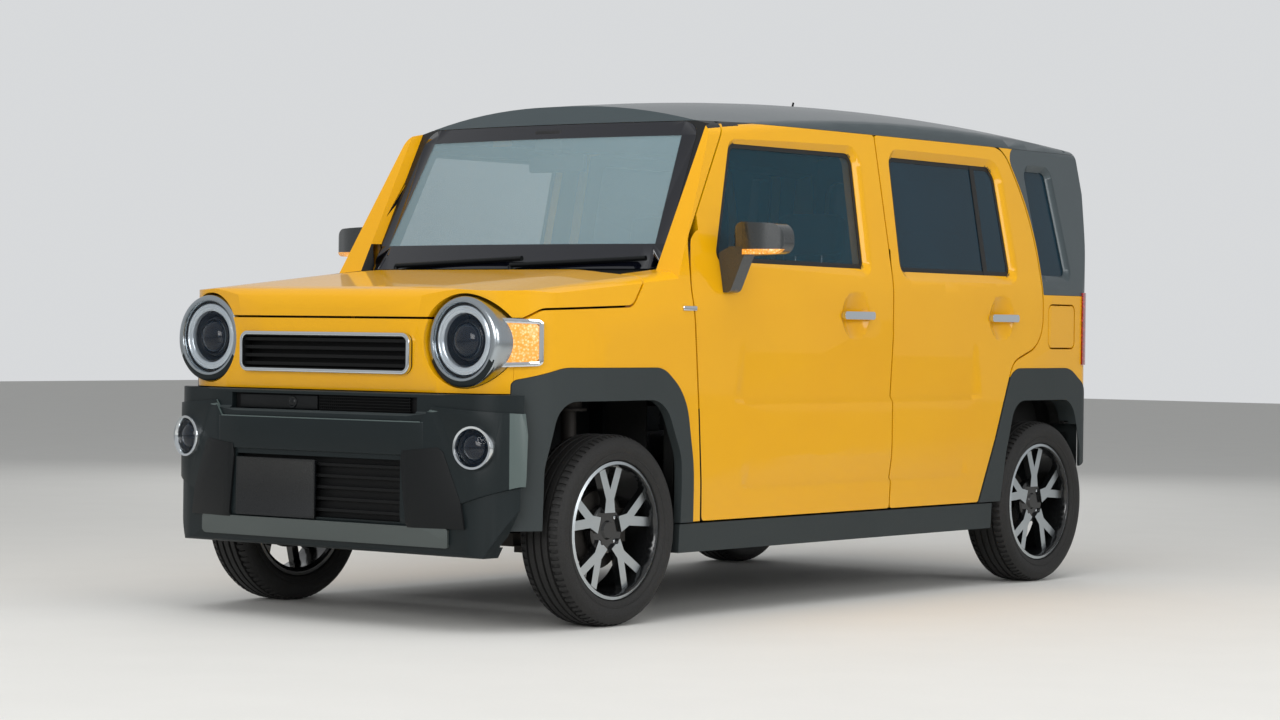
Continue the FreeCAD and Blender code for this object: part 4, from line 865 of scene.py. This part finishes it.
def tread_tyre(corner, y, s):
    """A tyre with four grooves round it, blocks cut into its shoulders and a raised ring on its side."""
    steps = list(TYRE_SIDE)
    for groove in (-0.040, -0.014, 0.014, 0.040):
        steps += [(TREAD_RADIUS, groove - 0.0045), (GROOVE_RADIUS, groove - 0.0035)]
        steps += [(GROOVE_RADIUS, groove + 0.0035), (TREAD_RADIUS, groove + 0.0045)]
    steps += [(radius, -along) for radius, along in reversed(TYRE_SIDE)]
    tyre = turned("tyre_tread_" + corner, (s * WHEEL_X, y, HUB_Z), (s, 0, 0), steps, tyre_rubber, 160,
                  "wheel_" + corner, caps=False)

    def every_other_block(centre, normal):
        radius = math.hypot(centre.y - y, centre.z - HUB_Z)
        turn = math.atan2(centre.z - HUB_Z, centre.y - y) / math.tau * SHOULDER_BLOCKS
        return 0.276 < radius and abs(centre.x - s * WHEEL_X) > 0.0455 and turn % 1 < 0.5

    edit(tyre, every_other_block)
    bpy.ops.mesh.inset(thickness=0.0012, depth=-0.0045)
    done(tyre, smooth=25)
    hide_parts("tyre_" + corner)


for corner, end, s in CORNERS:
    y = at(0 if end == "front" else WHEELBASE)
    tread_tyre(corner, y, s)
    wheel = dress("wheel_" + corner, wheel_black, edge=0.002)
    second_finish(wheel, machined, lambda face, corners: face.normal.x * s > 0.9
                  and face.center.x * s > WHEEL_X + 0.04
                  and math.hypot(face.center.y - y, face.center.z - HUB_Z) > 0.072)
    for k in range(4):
        angle = math.radians(45 + 90 * k)
        spot = (s * (WHEEL_X + 0.019), y + NUT_CIRCLE * math.cos(angle), HUB_Z + NUT_CIRCLE * math.sin(angle))
        turned(f"wheel_nut_{corner}_{k + 1}", spot, (s, 0, 0), NUT, chrome, 6, "wheel_" + corner)

# Seats: each pad is a subdivided block drawn to its side view, crowned, with sewn channels
SEAT_X = 0.320
REAR_HEADREST_X = 0.26
CHANNEL_DEPTH = 0.22
CHANNEL_WIDTH = 0.035
POST = [(0.006, 0), (0.006, 0.09), (0.004, 0.092)]


def pad(name, side_view, half, x, channels, crown=0.10):
    """A stuffed pad, in seat cloth with a paler middle.

    side_view holds (station, height) in metres of its under side's start, its face's start, its face's end
    and its under side's end. half is half its width. channels are where its face is sewn down, from 0 to 1.
    """
    clear()
    bpy.ops.mesh.primitive_cube_add(size=2, location=(0, 0, 0))
    piece = new_piece(name)
    edit(piece)
    bpy.ops.mesh.subdivide(number_cuts=19)
    bpy.ops.object.mode_set(mode="OBJECT")
    under_start, face_start, face_end, under_end = (Vector((0, at(a), b)) for a, b in side_view)
    for vertex in piece.data.vertices:
        across, along, out = vertex.co
        shrink = (abs(across) ** 6 + abs(along) ** 6 + abs(out) ** 6) ** (-1 / 6)
        across, along, out = across * shrink, along * shrink, out * shrink
        if out > 0:
            out += out * crown * (1 - across ** 2) * (1 - along ** 2)
            sewn = sum(CHANNEL_DEPTH * math.exp(-((abs(across) - c) / CHANNEL_WIDTH) ** 2) for c in channels)
            out -= out * sewn * (1 - along ** 8)
        across *= 1 - 0.03 * along ** 2
        start = under_start.lerp(face_start, (out + 1) / 2)
        end = under_end.lerp(face_end, (out + 1) / 2)
        vertex.co = start.lerp(end, (along + 1) / 2) + Vector((x + half * across, 0, 0))
    outward(piece)
    clear()
    apply(piece, "SUBSURF", levels=1, render_levels=1)
    done(piece, seat_cloth, smooth=60)
    face_way = (face_start - under_start + face_end - under_end).normalized()
    if channels:
        second_finish(piece, seat_middle, lambda face, corners: abs(face.center.x - x) < half * channels[0]
                      and face.normal.dot(face_way) > 0.4)
    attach(piece, "body")
    return piece


for side, s in SIDES:
    x = s * SEAT_X
    cushion = pad("front_cushion_" + side, [(0.905, 0.450), (0.900, 0.560), (1.395, 0.530), (1.400, 0.430)],
                  0.233, x, (0.56,))
    pad("front_backrest_" + side, [(1.480, 0.440), (1.372, 0.545), (1.500, 1.115), (1.588, 1.115)],
        0.230, x, (0.56,))
    pad("front_headrest_" + side, [(1.602, 1.150), (1.520, 1.150), (1.534, 1.296), (1.616, 1.290)],
        0.128, x, (), 0.16)
    for k, across in enumerate((-0.055, 0.055)):
        turned(f"front_headrest_post_{side}_{k + 1}", (x + across, at(1.558), 1.085), (0, 0.05, 1), POST,
               satin_chrome, 20)
    slab("front_seat_base_" + side, (x - 0.19, at(0.95), 0.250), (x + 0.19, at(1.38), 0.462), cabin_plastic,
         0.02, 3)
    x = s * REAR_HEADREST_X
    pad("rear_headrest_" + side, [(2.452, 1.150), (2.374, 1.150), (2.384, 1.264), (2.456, 1.258)],
        0.118, x, (), 0.16)
    turned("rear_headrest_post_" + side, (x, at(2.412), 1.085), (0, 0, 1), POST, satin_chrome, 20)
rear_cushion = pad("rear_cushion", [(1.850, 0.480), (1.850, 0.590), (2.270, 0.562), (2.290, 0.470)],
                   0.515, 0, (0.02, 0.62))
pad("rear_backrest", [(2.378, 0.470), (2.262, 0.575), (2.352, 1.115), (2.438, 1.115)], 0.515, 0, (0.02, 0.62))
slab("rear_seat_base", (-0.49, at(1.87), 0.405), (0.49, at(2.35), 0.500), cabin_plastic, 0.02, 3)
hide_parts("front_seats")
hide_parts("rear_seat")

# In the cabin: the screen's camera housing, the mirror, sun visors and what stands on the dashboard
slab("camera_housing", (-0.058, -0.632, 1.468), (0.058, -0.572, 1.536), cabin_plastic, 0.010, 3)
slab("cabin_mirror", (-0.118, -0.590, 1.398), (0.118, -0.566, 1.456), cabin_plastic, 0.010, 3)
slab("cabin_mirror_stem", (-0.012, -0.585, 1.45), (0.012, -0.571, 1.50), cabin_plastic, 0.004)
mirrored_slab("sun_visor", (0.14, -0.55, 1.528), (0.50, -0.38, 1.546), headlining, 0.008, 3)
slab("instrument_hood", (-0.46, -0.60, 1.040), (-0.18, -0.47, 1.092), cabin_plastic, 0.018, 4)
slab("centre_display", (-0.125, -0.475, 0.890), (0.125, -0.455, 1.030), plate_board, 0.006, 2)
mirrored_slab("air_vent", (0.46, -0.470, 0.930), (0.56, -0.440, 1.010), black_plastic, 0.008, 3)

# Small parts outside: the fender's blank marker, and the wiper, handle, stop lamp and reflectors at the back
mirrored_slab("fender_marker", (0.7285, at(0.300), 0.948), (0.7365, at(0.368), 0.9625), chrome, 0.002, 2)
turned("rear_wiper_pivot", (0.0, 1.678, 1.105), (0, 1, 0.08),
       [(0.020, 0), (0.020, 0.010), (0.015, 0.014), (0.003, 0.0145)], black_plastic, 32, "tailgate")
slab("rear_wiper_arm", (-0.010, 1.682, 1.108), (0.330, 1.690, 1.124), black_plastic, 0.003, 2, "tailgate")
slab("tailgate_handle", (-0.115, 1.686, 0.955), (0.115, 1.6955, 0.985), chrome, 0.004, 2, "tailgate")
mirrored_slab("rear_reflector", (0.500, 1.690, 0.400), (0.600, 1.6985, 0.432), red_lens, 0.003, 2)
slab("high_stop_lamp", (-0.130, 1.640, 1.560), (0.130, 1.662, 1.580), red_lens, 0.004, 2, "tailgate")

# Carried over as it is: under the car, under the bonnet and in the cabin
for node in ("wipers", "antenna", "firewall_and_cowl", "fuel_tank"):
    repaint(node, black_plastic)
for node in ("front_suspension", "knuckle_left", "knuckle_right", "rear_axle", "exhaust"):
    repaint(node, cast_metal)
for node in ("dashboard", "steering_wheel"):
    repaint(node, cabin_plastic)
repaint("floor_pan", underseal)
repaint("engine", engine_alloy)

# Floor, light and camera
clear()
bpy.ops.mesh.primitive_plane_add(size=60, location=(0, 0, 0))
floor = new_piece("studio_floor")
done(floor, finish("studio_paper", "#DEDDD9", "#D9D8D4", 0.8, grain=0.01, bump=0.02), smooth=0)


def soft_light(name, spot, target, size, power):
    """A softbox at a spot, turned to a target, with its width and height in metres and its power in watts."""
    lamp = bpy.data.objects.new(name, bpy.data.lights.new(name, "AREA"))
    bpy.context.scene.collection.objects.link(lamp)
    lamp.location = spot
    lamp.rotation_euler = (Vector(target) - Vector(spot)).to_track_quat("-Z", "Y").to_euler()
    lamp.data.shape = "RECTANGLE"
    lamp.data.size, lamp.data.size_y = size
    lamp.data.energy = power
    return lamp


# The two lamps that would mirror in the roof as white patches don't show in glossy surfaces
soft_light("overhead_softbox", (1.0, -1.5, 5.5), (0, 0, 0.6), (7, 5), 200).visible_glossy = False
soft_light("front_softbox", (2.5, -8.5, 3.2), (0, -0.5, 0.8), (5, 3), 240)
soft_light("side_softbox", (8.0, -1.0, 3.0), (0, 0, 0.8), (6, 3), 210)
soft_light("back_softbox", (-5.0, 6.5, 4.0), (0, 0, 0.8), (5, 3), 130).visible_glossy = False

# The air round the car: SKY_LIGHT on the car, BACKDROP to the camera, and between them in glossy surfaces
SKY_LIGHT = 0.45
BACKDROP = 0.8
GLOSSY_SHARE = 0.45
world = bpy.data.worlds.new("studio_air")
bpy.context.scene.world = world
world.use_nodes = True
sky = world.node_tree
glow = sky.nodes["Background"]
path = add_node(sky, "ShaderNodeLightPath")
glossy = add_node(sky, "ShaderNodeMath", {0: path.outputs["Is Glossy Ray"], 1: GLOSSY_SHARE},
                  operation="MULTIPLY")
seen = add_node(sky, "ShaderNodeMath", {0: path.outputs["Is Camera Ray"], 1: glossy.outputs[0]},
                operation="MAXIMUM")
strength = add_node(sky, "ShaderNodeMapRange",
                    {"Value": seen.outputs[0], "To Min": SKY_LIGHT, "To Max": BACKDROP})
sky.links.new(strength.outputs["Result"], glow.inputs["Strength"])
glow.inputs["Color"].default_value = linear("#EEF0F2")

# The photo's camera, solved from the wheelbase, the tyres and the height
CAMERA_PLACE = (6.5603, -8.5616, 0.8883)
yaw, pitch, roll = math.radians(37.879), math.radians(-0.5525), math.radians(0.682)
ahead = Vector((-math.sin(yaw) * math.cos(pitch), math.cos(yaw) * math.cos(pitch), math.sin(pitch)))
level = Vector((math.cos(yaw), math.sin(yaw), 0))
above = level.cross(ahead)
right = level * math.cos(roll) + above * math.sin(roll)
up = above * math.cos(roll) - level * math.sin(roll)
camera = bpy.data.objects.new("photo_camera", bpy.data.cameras.new("photo_camera"))
bpy.context.scene.collection.objects.link(camera)
camera.matrix_world = Matrix.Translation(CAMERA_PLACE) @ Matrix((right, up, -ahead)).transposed().to_4x4()
camera.data.sensor_width = 36.0
camera.data.lens = 88.87
bpy.context.scene.camera = camera
bpy.context.scene.view_settings.view_transform = "Standard"
